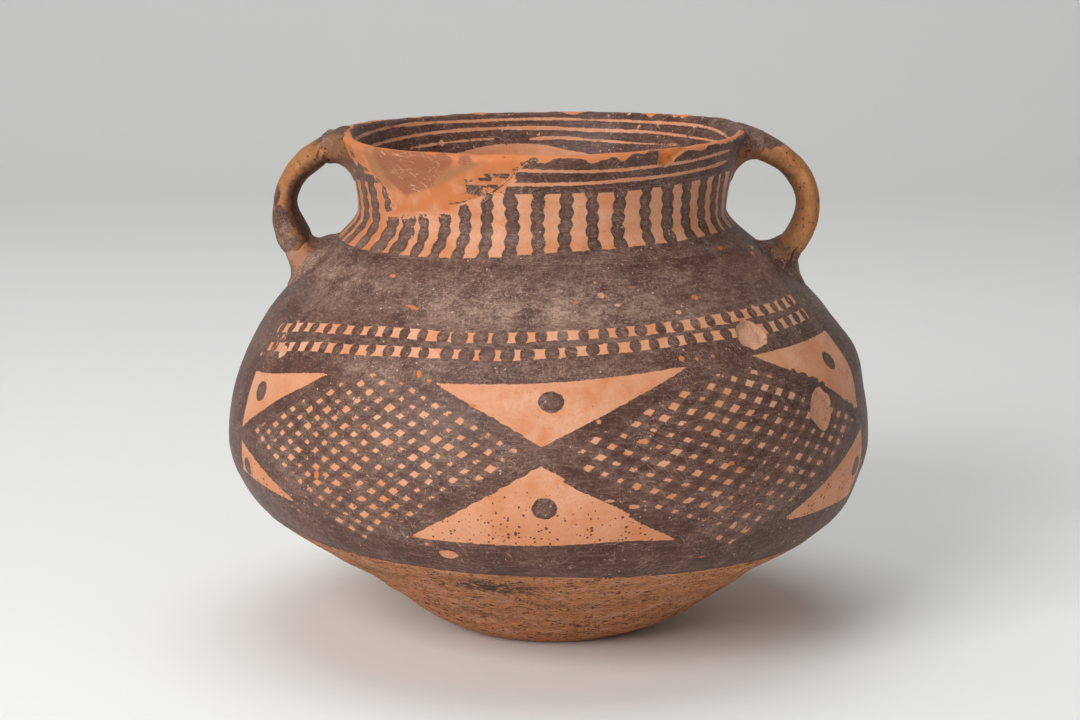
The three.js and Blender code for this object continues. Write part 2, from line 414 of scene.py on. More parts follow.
def pushOut(points, distance):  # moves points square to the wall
    _, z, radius = polar(points)
    outR, outZ = wallOut(np.minimum(z, jar["lipHeight"]))
    safe = np.maximum(radius, 1e-6)
    out = np.stack([outR * points[:, 0] / safe, outR * points[:, 1] / safe, outZ], axis=1)
    return points + out * np.asarray(distance)[:, None]


# The painted pattern, read as a potter lays it out: lines round the jar, then two panels between side bands

pattern = {
    # lines round the jar, as stops of angle and height
    "bandFoot": [(-70, 55), (-49, 53.5), (-38, 52.5), (0, 49.5), (43, 47.3), (55, 46.8), (110, 51),
                 (180, 50)],
    "bandTop": [(-70, 76), (-49, 71.2), (-24, 65.9), (-13, 65.3), (-1, 65.1), (13, 66.2), (22, 65.1),
                (45, 65.2), (72, 63.5), (130, 66), (180, 66.5), (-120, 68)],
    "shoulderFoot": [(-69, 116.5), (-45, 123.8), (-21, 125.4), (1, 127), (12, 128.5), (27, 130.4),
                     (42, 131), (70, 131.3), (120, 129), (180, 127), (-120, 124)],
    "rowHigh": [(-68.5, 134.1), (-57, 137.7), (-46.5, 139.6), (-36.5, 141.1), (-20, 141.4), (-8, 142),
                (0, 142.7), (14, 143.4), (29, 144.2), (45, 144.9), (64, 145), (75, 145.7), (130, 144),
                (180, 142), (-110, 136)],
    "rowLow": [(-67, 127.1), (-53, 131.6), (-44, 133.3), (-34.5, 134.7), (-24, 135.5), (-8, 136.1),
               (0, 136.9), (10, 138), (20, 138.8), (34, 139.5), (50, 139), (65, 139.4), (130, 138),
               (180, 136), (-110, 129)],
    "rowHalf": 1.7,
    "rowWobble": 0.25,
    "beads": 88,
    "beadHalfWide": 2.5,
    "beadHalfTall": 3.1,
    "beadRowStarts": (-1.7, 0.1),
    "rowEnds": ((-69, 66.6), (-69.6, 67.4)),  # the rows stop a little before the panel's sides
    "rowEndCurve": 0.12,
    "bigBeads": (-21, -5, 1.25),  # from, to, growth
    "panelEdges": (-69.7, 71.5),
}

# Lozenges of a panel. A tip is where it meets its neighbour: angle, upper and lower height.
# A bow says how far each edge bends away from straight, in the order upper left, upper right, lower left,
# lower right. Rising and falling are the net's strokes: lean, first, pitch and half the gap between two.
lozenges = [
    {"tips": ((-69, 93.4, 88.7), (-1.5, 104.0, 97.5)), "top": (-34, 135.2), "foot": (-34.4, 52),
     "bows": (0.1, 0.35, -0.45, 0),
     "rising": (1.0, 97.6, 5.71, 1.05), "falling": (-1.89, 162.7, 7.0, 1.22)},
    {"tips": ((-1.5, 104.0, 97.5), (72, 97, 92)), "top": (35, 136.2), "foot": (33.5, 50.8),
     "bows": (0.3, 0.2, 0.05, -0.4),
     "rising": (0.83, 106.3, 5.8, 1.0), "falling": (-1.73, 63.8, 7.5, 1.2)},
]
net = {
    "insetTop": 6,
    "insetFoot": 7.5,
    "ceiling": 126.5,
    "edgeSlope": 0.87,
    "unevenness": 0.65,
    "wander": 0.8,
    "strokeEnds": (0.4, 1.3),  # how far some strokes stand out on the bare triangles, on each lozenge
    "degreeAtBelly": 2.32,  # millimetres in a degree there
    "strokeLuck": 0.26,
}

# Dots of a panel: angle, height, half width, half height
dots = [
    (0.1, 120.2, 5.0, 4.2), (-1, 80.7, 4.9, 4.3), (-63.3, 110.8, 4.6, 4.2),
    (-65.8, 79.0, 3.9, 3.6), (63.4, 121.9, 4.4, 4.0), (68.3, 76.9, 4.4, 4.2),
]


def roundSpot(across, up, halfWide, halfTall):  # distance into an oval
    return (1 - np.hypot(across / halfWide, up / halfTall)) * np.minimum(halfWide, halfTall)


def strokeGaps(run, lean, first, pitch, half, seed):  # distance into the gaps between slanted strokes
    count = np.round((run - first) / pitch)
    luck = np.random.default_rng(seed).uniform(-1, 1, 64)[count.astype(int) % 64]
    gap = half * (1 + net["strokeLuck"] * luck) - np.abs(run - first - count * pitch)
    return gap / math.hypot(1, lean / net["degreeAtBelly"]), count


def panelMarks(angle, z, points):
    slant = wallSlant(z)
    perDegree = np.pi / 180 * wallRadius(z)
    front = np.abs(angle) < 90
    local = np.where(front, angle, turned(angle - 180))
    low, high = pattern["panelEdges"]
    sides = np.minimum(local - low, high - local) * perDegree
    bandTop = brushLine(angle, pattern["bandTop"])
    shoulderFoot = brushLine(angle, pattern["shoulderFoot"])
    bare = np.full(len(z), farOut)
    gapsA = np.full(len(z), farOut)
    gapsB = np.full(len(z), farOut)
    for which, lozenge in enumerate(lozenges):
        (leftAngle, leftHigh, leftLow), (rightAngle, rightHigh, rightLow) = lozenge["tips"]
        here = (local >= leftAngle) & (local < rightAngle)
        topAngle, topHeight = lozenge["top"]
        footAngle, footHeight = lozenge["foot"]
        bows = lozenge["bows"]

        def edge(midAngle, midHeight, leftHeight, rightHeight, leftBow, rightBow):
            left = local < midAngle
            fromLeft = (local - leftAngle) / (midAngle - leftAngle)
            fromRight = (rightAngle - local) / (rightAngle - midAngle)
            t = np.clip(np.where(left, fromLeft, fromRight), 0, 1)
            start = np.where(left, leftHeight, rightHeight)
            bow = np.where(left, leftBow, rightBow)
            return start + (midHeight - start) * (t + bow * t * (1 - t))

        upper = edge(topAngle, topHeight, leftHigh, rightHigh, bows[0], bows[1])
        lower = edge(footAngle, footHeight, leftLow, rightLow, bows[2], bows[3])
        over = (z - upper) * net["edgeSlope"]
        under = (lower - z) * net["edgeSlope"]
        room = np.minimum(upper - z - net["insetTop"], z - lower - net["insetFoot"])
        room = np.minimum(room, net["ceiling"] - z) * slant * net["edgeSlope"]
        wander = net["wander"] * lumps(points, 17, 21 + which)
        lean, first, pitch, half = lozenge["rising"]
        rising, i = strokeGaps(z + lean * local + wander, lean, first, pitch, half, 31 + which)
        lean, first, pitch, half = lozenge["falling"]
        falling, j = strokeGaps(z + lean * local - wander, lean, first, pitch, half, 41 + which)
        luck = np.random.default_rng(51 + which).uniform(0, 1, (64, 64))
        closed = net["unevenness"] * (luck[i.astype(int) % 64, j.astype(int) % 64] - 0.55)
        proud = net["strokeEnds"][which]  # some strokes end a little way out on the bare triangles
        over = over - proud * rampUp(0.3, -0.5, falling) * (np.sin(j * 7.3) > 0.1)
        under = under - proud * rampUp(0.3, -0.5, rising) * (np.sin(i * 5.9) > 0.1)
        over = np.minimum(over, shoulderFoot - z) * slant
        under = np.minimum(under, z - bandTop) * slant
        bare = np.where(here, np.maximum(over, under), bare)
        gapsA = np.where(here, np.minimum(rising - closed, room), gapsA)
        gapsB = np.where(here, np.minimum(falling - closed * 0.8, room), gapsB)
    bare, gapsA, gapsB = (np.minimum(mark, sides) for mark in (bare, gapsA, gapsB))
    return bare, gapsA, gapsB, local, perDegree, slant


def beadRow(angle, z, line, start, seed, perDegree, slant):
    count = pattern["beads"]
    pitch = 360 / count
    which = np.round((angle - start) / pitch).astype(int)
    luck = np.random.default_rng(seed).uniform(-1, 1, (4, count))[:, which % count]
    across = turned(angle - start - which * pitch - 0.3 * luck[0]) * perDegree
    fromAngle, toAngle, growth = pattern["bigBeads"]
    size = np.where((angle > fromAngle) & (angle < toAngle), growth, 1)
    wide = pattern["beadHalfWide"] * size * (1 + 0.14 * luck[1])
    tall = pattern["beadHalfTall"] * size * (1 + 0.1 * luck[2])
    return roundSpot(across, (z - line - 0.25 * luck[3]) * slant, wide, tall)


def wallPattern(points):
    angle, z, _ = paintedPlace(points)
    bare, gapsA, gapsB, local, perDegree, slant = panelMarks(angle, z, points)
    bare = np.maximum(bare, (brushLine(angle, pattern["bandFoot"]) - z) * slant)
    brush = np.full(len(z), farOut)
    rows = zip(("rowHigh", "rowLow"), pattern["beadRowStarts"], pattern["rowEnds"])
    for seed, (row, start, (first, last)) in enumerate(rows):
        line = brushLine(angle, pattern[row])
        half = pattern["rowHalf"] + pattern["rowWobble"] * lumps(points, 12, 61 + seed)
        withinEnds = np.minimum(local - first, last - local) * perDegree
        withinEnds = withinEnds - pattern["rowEndCurve"] * (z - line) ** 2
        bare = np.maximum(bare, np.minimum((half - np.abs(z - line)) * slant, withinEnds))
        brush = np.maximum(brush, beadRow(angle, z, line, start, 71 + seed, perDegree, slant))
    for dotAngle, dotHeight, wide, tall in dots:
        across = turned(local - dotAngle) * perDegree
        brush = np.maximum(brush, roundSpot(across, (z - dotHeight) * slant, wide, tall))
    return bare, gapsA, gapsB, brush, perDegree, slant


# Worn places of the walls. A loss has its angle, height, half width, half height and depth, and how fresh
# its clay looks.
losses = [
    (43.5, 137.6, 8.2, 6.6, 1.3, 0.0),
    (54.8, 106.4, 7.6, 8.6, 1.0, 0.1),
    (43.3, 142.9, 2.0, 1.7, 1.6, 0.3),
    (-17.9, 59.7, 3.6, 2.0, 0.5, 0.2),
    (-61.4, 127.6, 3.2, 3.0, 0.3, -0.3),
    (-32.2, 150.6, 1.9, 0.6, 0.3, 0.8),
    (-30.4, 149.9, 1.9, 0.5, 0.3, 0.8),
    (34.3, 152.8, 1.6, 1.2, 0.4, 1.0),
    (5.7, 153.6, 1.6, 0.6, 0.3, 1.0),
    (8.0, 154.3, 1.0, 0.4, 0.2, 0.9),
    (11.6, 155.8, 1.3, 1.2, 0.3, 0.1),
    (14.9, 152.4, 1.6, 1.0, 0.2, 0.0),
    (19.3, 157.9, 1.5, 0.5, 0.2, 1.0),
    (25.3, 133.1, 1.2, 1.1, 0.3, 0.9),
    (28.5, 132.6, 0.8, 1.3, 0.3, 0.9),
    (32.1, 132.9, 1.4, 1.0, 0.3, 0.9),
    (-24.5, 128.0, 0.9, 1.4, 0.3, 0.9),
    (-22.2, 126.2, 1.3, 0.9, 0.3, 0.9),
    (-13.5, 118.2, 1.4, 0.7, 0.2, 0.8),
    (54.0, 166.8, 1.7, 0.8, 0.3, 1.0),
    (68.0, 162.0, 2.8, 1.0, 0.3, 0.6),
    (71.8, 163.2, 2.4, 1.3, 0.2, -0.5),
    (-21.5, 63.4, 1.0, 0.8, 0.3, 0.5),
    (28.0, 56.3, 2.6, 0.8, 0.3, 0.6),
    (28.5, 148.6, 1.2, 1.0, 0.3, 0.0),
    (-42.5, 159.8, 1.6, 0.7, 0.2, 0.6),
    (8.2, 112.9, 1.2, 0.8, 0.2, 0.3),
    (15.5, 105.0, 1.8, 1.1, 0.3, 0.4),
    (31.3, 93.6, 1.5, 0.9, 0.3, 0.9),
    (32.9, 91.2, 1.1, 0.8, 0.3, 0.8),
    (6.0, 96.0, 2.0, 0.6, 0.2, 0.3),
    (13.6, 80.4, 2.6, 0.8, 0.2, 0.2),
    (9.6, 83.2, 2.6, 0.8, 0.2, 0.2),
    (-42.8, 85.6, 1.4, 1.9, 0.3, 0.9),
    (150.0, 137.0, 5.5, 3.0, 0.7, 0.2),
    (-140.0, 98.0, 4.5, 6.0, 0.8, 0.1),
    (118.0, 152.0, 2.4, 1.4, 0.3, 0.9),
    (176.0, 60.5, 3.0, 1.4, 0.4, 0.6),
]

# Dusty film on the paint, and painted light where broad bands run across the upward-facing shoulder: angle,
# height, half width, half height, strength
filmSpots = [
    (-18, 151, 34, 6, 0.85), (4, 148, 30, 6, 0.6), (-72, 158, 26, 8, 1.4), (-60, 148, 12, 8, 0.5),
    (-34, 127, 18, 7, 0.7), (76, 158, 16, 7, 0.7), (58, 147, 16, 5, 0.3), (-4, 130, 70, 4, 0.5),
    (-30, 98, 34, 22, 0.3), (-2, 101, 12, 9, 0.4), (-52, 82, 16, 16, 0.35), (-27, 68, 18, 5, 0.35),
    (45, 128, 14, 8, 0.15), (38, 78, 24, 8, 0.4), (34, 66, 20, 4, 0.3), (60, 88, 14, 16, 0.2),
    (24, 148, 30, 5, 0.3), (150, 100, 40, 30, 0.4), (-140, 150, 40, 10, 0.5), (100, 155, 26, 8, 0.5),
    (-100, 90, 20, 30, 0.35), (-11, 163, 26, 3, 0.3), (0, 150, 90, 15, 0.45),
    (0, 130, 80, 5, 0.25), (0, 157, 90, 8, 0.8),
]

# Sooty places on the bare clay, given in the same way
sootSpots = [
    (-15, 42, 10, 6.5, 1.1), (-8, 40.5, 11, 5, 0.9), (-40, 40, 14, 5, 0.4), (20, 28, 26, 4, 0.3),
    (-25, 20, 24, 5, 0.45),
]


def lossMarks(points, angle, z, perDegree, slant):
    raw = np.full(len(z), farOut)
    depth = np.zeros(len(z))
    fresh = np.zeros(len(z))
    ragged = 1.3 * lumps(points, 5.5, 81) + 0.7 * lumps(points, 2.4, 82)
    for lossAngle, lossHeight, wide, tall, deep, newness in losses:
        across = turned(angle - lossAngle) * perDegree
        into = roundSpot(across, (z - lossHeight) * slant, wide, tall)
        into = into + ragged * min(1, min(wide, tall) / 3.5)
        depth = np.maximum(depth, deep * rampUp(0, 0.25 + deep, into))
        fresh = np.where(into > raw, newness, fresh)
        raw = np.maximum(raw, into)
    return raw, depth, fresh * rampUp(-1.2, 0, raw)


def softSpots(spots, angle, z, perDegree, slant):  # all the soft spots of a list together
    total = np.zeros(len(z))
    for spotAngle, spotHeight, wide, tall, strength in spots:
        across = turned(angle - spotAngle) * perDegree
        total += strength * np.exp(-((across / wide) ** 2) - ((z - spotHeight) * slant / tall) ** 2)
    return total


def dressWall(piece):  # paints and wears one of the body's walls
    points = readPoints(piece)
    angle, z, radius = paintedPlace(points)
    outside = wallRadius(points[:, 2]) - radius < 1.5
    bare, gapsA, gapsB, brush, perDegree, slant = wallPattern(points)
    raw, depth, fresh = lossMarks(points, angle, z, perDegree, slant)
    coarse = rampUp(2, -1.5, (z - brushLine(angle, pattern["bandFoot"])) * slant)
    pitted = np.maximum(coarse, 0.3 + 0.65 * rampUp(96, 72, z))
    # the scraped clay below the band is made darker, and the sooty places darker still
    soot = 0.25 * coarse + softSpots(sootSpots, angle, z, perDegree, slant)
    # dusty film from the spots list, partly painted light on the shoulder
    film = 0.06 + softSpots(filmSpots, angle, z, perDegree, slant)
    writeMarks(
        piece,
        bare=np.where(outside, bare, plainMarks["bare"]),
        gapsA=np.where(outside, gapsA, notHere),
        gapsB=np.where(outside, gapsB, notHere),
        brush=np.where(outside, brush, notHere),
        raw=np.where(outside, raw, notHere),
        soot=np.where(outside, soot, 0),
        fresh=fresh,
        film=np.where(outside, film, plainMarks["film"]),
        coarse=np.where(outside, coarse, 0.8),
        pitted=np.where(outside, pitted, 0.6),
        flaked=np.where(outside, 0.35 * rampUp(0.3, 0.9, lumps(points, 26, 91)), 0),
    )
    rough = np.where(outside, 1 + 1.6 * coarse, 2)
    relief = handRelief(points, rough)
    relief -= np.where(outside, depth * (1 + 0.4 * lumps(points, 2.6, 92)), 0)
    writePoints(piece, handForm(pushOut(points, relief)))
    smoothShade(piece)


# The walls and the base, each turned from its profile

baseFoot = {"flatRadius": 39.5, "edgeHeight": 5.5, "ringSpacing": 4.5, "sideSpacing": 1.2, "topRings": 14,
            "cornerSteps": 7, "hollow": 0.5, "roughness": 2.6}
lowerWall = {"outerSpacing": 1.15, "innerSpacing": 9}
upperWall = {"outerSpacing": 1.1, "innerSpacing": 9}


def makeBaseFoot():
    foot, edge = baseFoot["flatRadius"], baseFoot["edgeHeight"]
    under = np.arange(0, foot - 1, baseFoot["ringSpacing"])
    wall = wallPoints([edge, edge + 1])
    meeting = wall[0] - (wall[1] - wall[0]) * edge  # where the wall's line meets the ground
    easing = (meeting[0] * 0.6 + wall[0][0] * 0.4, edge * 0.4)
    corner = bezier((foot, 0), (meeting[0], 0), easing, wall[0], baseFoot["cornerSteps"])
    side = wallPoints(evenHeights(edge + 1, jar["baseThickness"], baseFoot["sideSpacing"]))
    top = [(r, jar["baseThickness"]) for r in np.linspace(side[-1][0], 0, baseFoot["topRings"])[1:]]
    piece = turnPiece("baseFoot", [(r, 0) for r in under] + corner.tolist() + side.tolist() + top)
    points = readPoints(piece)
    _, z, radius = polar(points)
    writeMarks(piece, coarse=1, pitted=1)
    onSide = rampUp(0.2, 5, z) * (wallRadius(z) - radius < 3)
    points = pushOut(points, handRelief(points, baseFoot["roughness"]) * onSide)
    under = z < 0.01
    lift = baseFoot["hollow"] * rampUp(foot, foot * 0.6, radius) * (1 + 0.5 * lumps(points, 7, 95))
    points[:, 2] += np.where(under, lift, 0)
    writePoints(piece, handForm(points))
    smoothShade(piece)
    return piece


def makeLowerWall():
    foot = jar["baseThickness"]
    outside = wallPoints(evenHeights(foot, jar["bellyHeight"], lowerWall["outerSpacing"]))
    heights = evenHeights(jar["bellyHeight"] - jar["lap"], 1, lowerWall["innerSpacing"])
    inside = wallPoints(heights, jar["wallThickness"])
    inside = [p for p in inside.tolist() if p[1] > foot + 1]
    level = np.linspace(0, foot + 4, 400)
    reach = wallPoints(level, jar["wallThickness"])
    inside.append([float(np.interp(foot, reach[:, 1], reach[:, 0])), foot])
    piece = turnPiece("lowerWall", outside.tolist() + inside + [outside[0].tolist()])
    dressWall(piece)
    return piece


def makeUpperWall():
    seam = jar["seamHeight"]
    outside = wallPoints(evenHeights(jar["bellyHeight"], seam, upperWall["outerSpacing"]))
    heights = evenHeights(seam - jar["lap"], jar["bellyHeight"] - jar["lap"], upperWall["innerSpacing"])
    inside = wallPoints(heights, jar["wallThickness"])
    piece = turnPiece("upperWall", outside.tolist() + inside.tolist() + [outside[0].tolist()])
    dressWall(piece)
    return piece


# The neck, and the restored piece that is cut out of it

neck = {
    "usualRadius": 79,
    "usualSlant": 1.03,
    "outerSpacing": 0.65,
    "innerSpacing": 0.75,
    "deepSpacing": 2.4,
    "paintedDepth": 32,  # how far down inside the rim the painted lines reach
    "lipSteps": 10,
    # lines round it, as stops of angle and height
    "darkTop": [(-76, 165.5), (-61, 166.2), (-47, 166.8), (-32, 167.4), (-18, 168.2), (-3, 169.8),
                (4, 170.3), (20, 171.2), (37, 171.6), (60, 171.8), (75, 171.2), (120, 169.5), (180, 168),
                (-130, 166.5)],
    "stripeTop": [(-73, 192), (-63, 192.8), (-11, 193.2), (4, 193.4), (28, 193.8), (42, 194.6), (56, 195.6),
                  (75, 195.5), (130, 194), (180, 193)],
    # upright stripes, each as its angle at the foot and at the top
    "stripes": [(-76, -74), (-66, -66.5), (-56, -56.5), (-48, -47.5), (-40.5, -41.5), (-33.5, -32.7),
                (-26, -26), (-18.8, -18.4), (-11, -11.5), (-3.5, -3.4), (4.2, 4.5), (13, 11.5), (20.5, 20),
                (29.5, 28.5), (37.5, 35.6), (45.5, 42.5), (53, 50), (60.5, 56.5), (66.5, 61.5), (74.5, 70)],
    "backStripes": 28,
    "stripeHalf": 2.6,
    "stripeScallop": 1.0,
    "broadStripes": (4, 1.55),  # how many at the left are broader, and how much
    "scallopLength": 5.2,
    # thin bare lines outside, from the rim down: stops, half height
    "lines": [
        ([(-180, 203), (-90, 201.5), (-70, 202), (-12, 203), (0, 202.6), (10, 202.3), (20, 202.5),
          (30, 203), (42, 203.8), (50, 204.6), (59, 205.2), (90, 205)], 0.66),
        ([(-180, 197.5), (-90, 194.6), (-79, 195), (-66, 196.5), (-23, 197), (0, 197.3), (10, 197.5),
          (20, 198), (30, 198.4), (40, 199), (50, 199.8), (62, 200.7), (90, 201)], 0.74),
    ],
    "lineEnds": (-64, 67),  # the lines die out before the handles
    # thin bare lines inside
    "innerLines": [
        ([(-180, 206), (-152, 205.8), (-133, 206.3), (-97, 205.6), (0, 206), (104, 205.7), (122, 206.9),
          (146, 206.1), (165, 205.8)], 0.6),
        ([(-180, 202), (-152, 202.1), (-135, 201.6), (-113, 200.6), (0, 202), (113, 202.2), (124, 201.9),
          (145, 201.9), (165, 201.5)], 0.7),
        ([(-180, 197.8), (-173, 197.2), (-162, 197.8), (-151, 197.5), (-141, 197.1), (-128, 196.4),
          (0, 197), (132, 197.9), (151, 196.8), (164, 197.1)], 0.5),
    ],
    "brokenLine": ((-172, -163), (100, 131)),  # where the lowest is missing
    "diamond": (-141.3, 197.2, 1.7),  # a blob on it: angle, height, half size
    "garlands": 5,
    "garlandFoot": 186.5,
    "garlandRise": 9,
    "garlandPeak": -168,
    # how far down the lip the paint is rubbed off, and chips: angle, half width, depth
    "lipWear": [(-180, 0.1), (-150, 0.2), (-110, 0.5), (-84, 1.0), (-60, 1.2), (-20, 1.5), (-8, 2.1),
                (0, 2.6), (10, 2.2), (18, 2.5), (25, 1.3), (32, 1.4), (45, 1.9), (70, 1.7), (88, 0.2),
                (120, -0.3), (150, 0.2)],
    "lipChips": ((172.3, 5.5, 2.2), (135.7, 7, 2), (146.5, 2.2, 1.8), (-158, 3, 1.6), (11.4, 3.5, 1.5),
                 (19.4, 3, 1.6), (25.8, 2.2, 1.4), (-1.5, 3, 1.6)),
    "rimChip": [(30.6, 210), (30.3, 205.8), (30.2, 203.9), (31.6, 202.4), (33.4, 202), (35, 203.2),
                (36, 204.9), (37.2, 206.4), (38.6, 207.8), (40, 210)],
    "chipDepth": 1.2,
}

fill = {
    # sizes of its outline, sideways from its middle and down from the rim
    "middleAngle": -52,
    "leftEdge": 35,
    "rightEdge": 34,
    "leftDrop": 11.5,
    "footLeft": 11,
    "footRight": 22.5,
    "depth": 28.5,
    "corner": 5,
    # where the restorer's colour runs over the old paint, in angle and height
    "smear": [(-92, 211), (-92, 202.5), (-74.6, 200), (-66, 198.8), (-61, 195.7), (-57.4, 192.2),
              (-55.4, 189), (-54.9, 186), (-53.5, 184), (-60.1, 179.6), (-50.3, 181.3), (-44, 182.6),
              (-38.5, 183), (-30.5, 184.2), (-27.5, 187.6), (-25.1, 189.1), (-20.2, 191.8), (-15.5, 194),
              (-11.8, 198.4), (-9.4, 201.6), (-8.2, 204), (-8, 211)],
    "scratchedPlaster": [(-58.8, 211), (-58.4, 199.4), (-56.3, 195.2), (-52, 192.4), (-47.4, 190),
                         (-42.2, 191.2), (-36.6, 193.8), (-32.3, 199.4), (-28.6, 202.4), (-26.9, 205.2),
                         (-26.5, 211)],
    # two places of tan colour, round the plaster and beside it
    "tanPlaster": (
        [(-35.4, 193.6), (-31.5, 196.4), (-26.8, 199.6), (-23.4, 202), (-19.6, 204.9), (-21.1, 205.8),
         (-26.4, 202.8), (-28.8, 203.2), (-33, 199.5)],
        [(-63, 211), (-63.1, 197.6), (-57.4, 191.8), (-50, 190.2), (-55.4, 195.6), (-57.4, 201.5),
         (-58.2, 211)],
    ),
    "pinkLump": (-23.4, 206.6, 3.2, 3.0),
    # what is left of the old paint on it
    "paintIslands": (
        [(-27.2, 191.2), (-24.4, 193.6), (-24.6, 196.4), (-20.4, 196.2), (-15.4, 196.7), (-12, 197.3),
         (-11.4, 197.2), (-13.6, 194.4), (-16.1, 192.8), (-20.2, 191.8), (-22.2, 192.3), (-24.3, 193)],
        [(-24.6, 198.3), (-22, 199.1), (-21.8, 197.6), (-24, 197.1)],
        [(-18.8, 201.1), (-15.1, 201.5), (-10.8, 201.4), (-11.2, 199.2), (-15.7, 199.6), (-18, 199.9)],
        [(-21, 199.4), (-16.2, 199.8), (-16.6, 198.2), (-20, 197.9)],
        [(-12.6, 200.9), (-9.2, 201.3), (-10.6, 198.4), (-12.2, 197.6)],
        [(-12.7, 208.7), (-10.5, 208.1), (-6.8, 207.5), (-7, 206.1), (-9.9, 206.1), (-12.6, 207.2)],
        [(-10.3, 204.2), (-8.2, 204.1), (-8.6, 202.8), (-10, 202.8)],
        [(-77.5, 200.6), (-74, 201.2), (-72.6, 203.4), (-77.2, 203.8)],
    ),
    "flakedBy": (-15.5, -1.5),  # the paint beside it is half gone between these angles
    "brightEdge": [(-92, 211), (-86, 203.5), (-80.5, 203.8), (-77, 207), (-76, 211)],
    "crack": [(-9.4, 201.9), (-11, 199.4), (-12.7, 197.4), (-15, 194.8), (-17.6, 193), (-19.9, 192),
              (-22.4, 190.8), (-24.5, 190.1), (-25.6, 189.2), (-27.9, 188.4), (-31, 187.7)],
    "crackHalf": 0.16,
    "crackDepth": 0.45,
    "plasterDepth": 0.3,
    "insideEdges": ((-79, -74), (-26, -30)),  # where its colour fades in and out inside the neck
    "browning": 0.8,  # brown colour round the left handle, between these angles
    "brownEdges": ((-44, -66), (-120, -100)),
    # a bright sliver along it
    "wedge": [(-17.7, 192), (-15.1, 194.3), (-12.5, 197.2), (-9.4, 201.7), (-10.2, 199.5), (-13.4, 194.2)],
}


def toWallPlane(angle, z):  # angle and height as millimetres on the neck
    return np.asarray(angle) * math.pi / 180 * neck["usualRadius"], np.asarray(z) * neck["usualSlant"]


def onNeck(angle, z, corners):
    x, y = toWallPlane(angle, z)
    cornerX, cornerY = toWallPlane(*np.array(corners, float).T)
    return insideShape(x, y, np.stack([cornerX, cornerY], axis=1))


def alongNeck(angle, z, stops):
    x, y = toWallPlane(angle, z)
    stopX, stopY = toWallPlane(*np.array(stops, float).T)
    return fromLine(x, y, list(zip(stopX, stopY)))


def stripeMarks(angle, z, darkTop, stripeTop):
    share = np.clip((z - darkTop) / (stripeTop - darkTop), 0, 1)
    feet, tops = np.array(neck["stripes"], float).T
    gap = (360 - (feet[-1] - feet[0])) / (neck["backStripes"] + 1)
    extra = feet[-1] + gap * np.arange(1, neck["backStripes"] + 1)
    feet, tops = np.concatenate([feet, extra]), np.concatenate([tops, extra])
    nearest = np.full(len(z), farOut)
    luck = np.random.default_rng(101).uniform(-1, 1, (3, len(feet)))
    scale = np.pi / 180 * wallRadius(z)
    broadCount, broadness = neck["broadStripes"]
    for which, (foot, top) in enumerate(zip(feet, tops)):
        sway = 0.35 * np.sin(share * 5 + 2 * luck[0][which])
        scallop = np.abs(np.sin(np.pi * (z / neck["scallopLength"] + luck[1][which]))) - 0.6
        half = neck["stripeHalf"] * (1 + 0.1 * luck[2][which]) + neck["stripeScallop"] * scallop
        half = half * (broadness if which < broadCount else 1)
        across = np.abs(turned(angle - blendTo(foot, top, share)) * scale + sway)
        nearest = np.maximum(nearest, half - across)
    return nearest


def outerNeckPattern(points, angle, z):
    darkTop = brushLine(angle, neck["darkTop"])
    stripeTop = brushLine(angle, neck["stripeTop"])
    bare = np.minimum(z - darkTop, stripeTop - z)
    brush = np.where(bare > -1.5, stripeMarks(angle, z, darkTop, stripeTop), notHere)
    left, right = neck["lineEnds"]
    taper = 1 - 1.6 * rampUp(right - 12, right, angle) * rampUp(right + 60, right + 2, angle)
    taper = taper - 0.7 * rampUp(left, left - 8, angle) * rampUp(left - 60, left - 40, angle)
    for stops, half in neck["lines"]:
        line = brushLine(angle, stops)
        width = half * taper + 0.16 * lumps(points, 9, 111)
        bare = np.maximum(bare, width - np.abs(z - line))
    return bare, brush


def innerNeckPattern(points, angle, z):
    swing = np.abs(np.cos(np.radians(angle - neck["garlandPeak"]) * neck["garlands"] / 2))
    garland = neck["garlandFoot"] + neck["garlandRise"] * swing**0.9
    bare = garland + 0.5 * lumps(points, 10, 120) - z
    for which, (stops, half) in enumerate(neck["innerLines"]):
        line = brushLine(angle, stops)
        width = half + 0.3 * lumps(points, 11, 121 + which)
        for first, last in neck["brokenLine"] if which == 2 else ():
            width = width - 1.6 * rampUp(first - 2, first, angle) * rampUp(last + 2, last, angle)
        bare = np.maximum(bare, width - np.abs(z - line))
    middle, height, half = neck["diamond"]
    across = turned(angle - middle) * np.pi / 180 * wallRadius(z)
    return np.maximum(bare, half - np.abs(across) - np.abs(z - height))


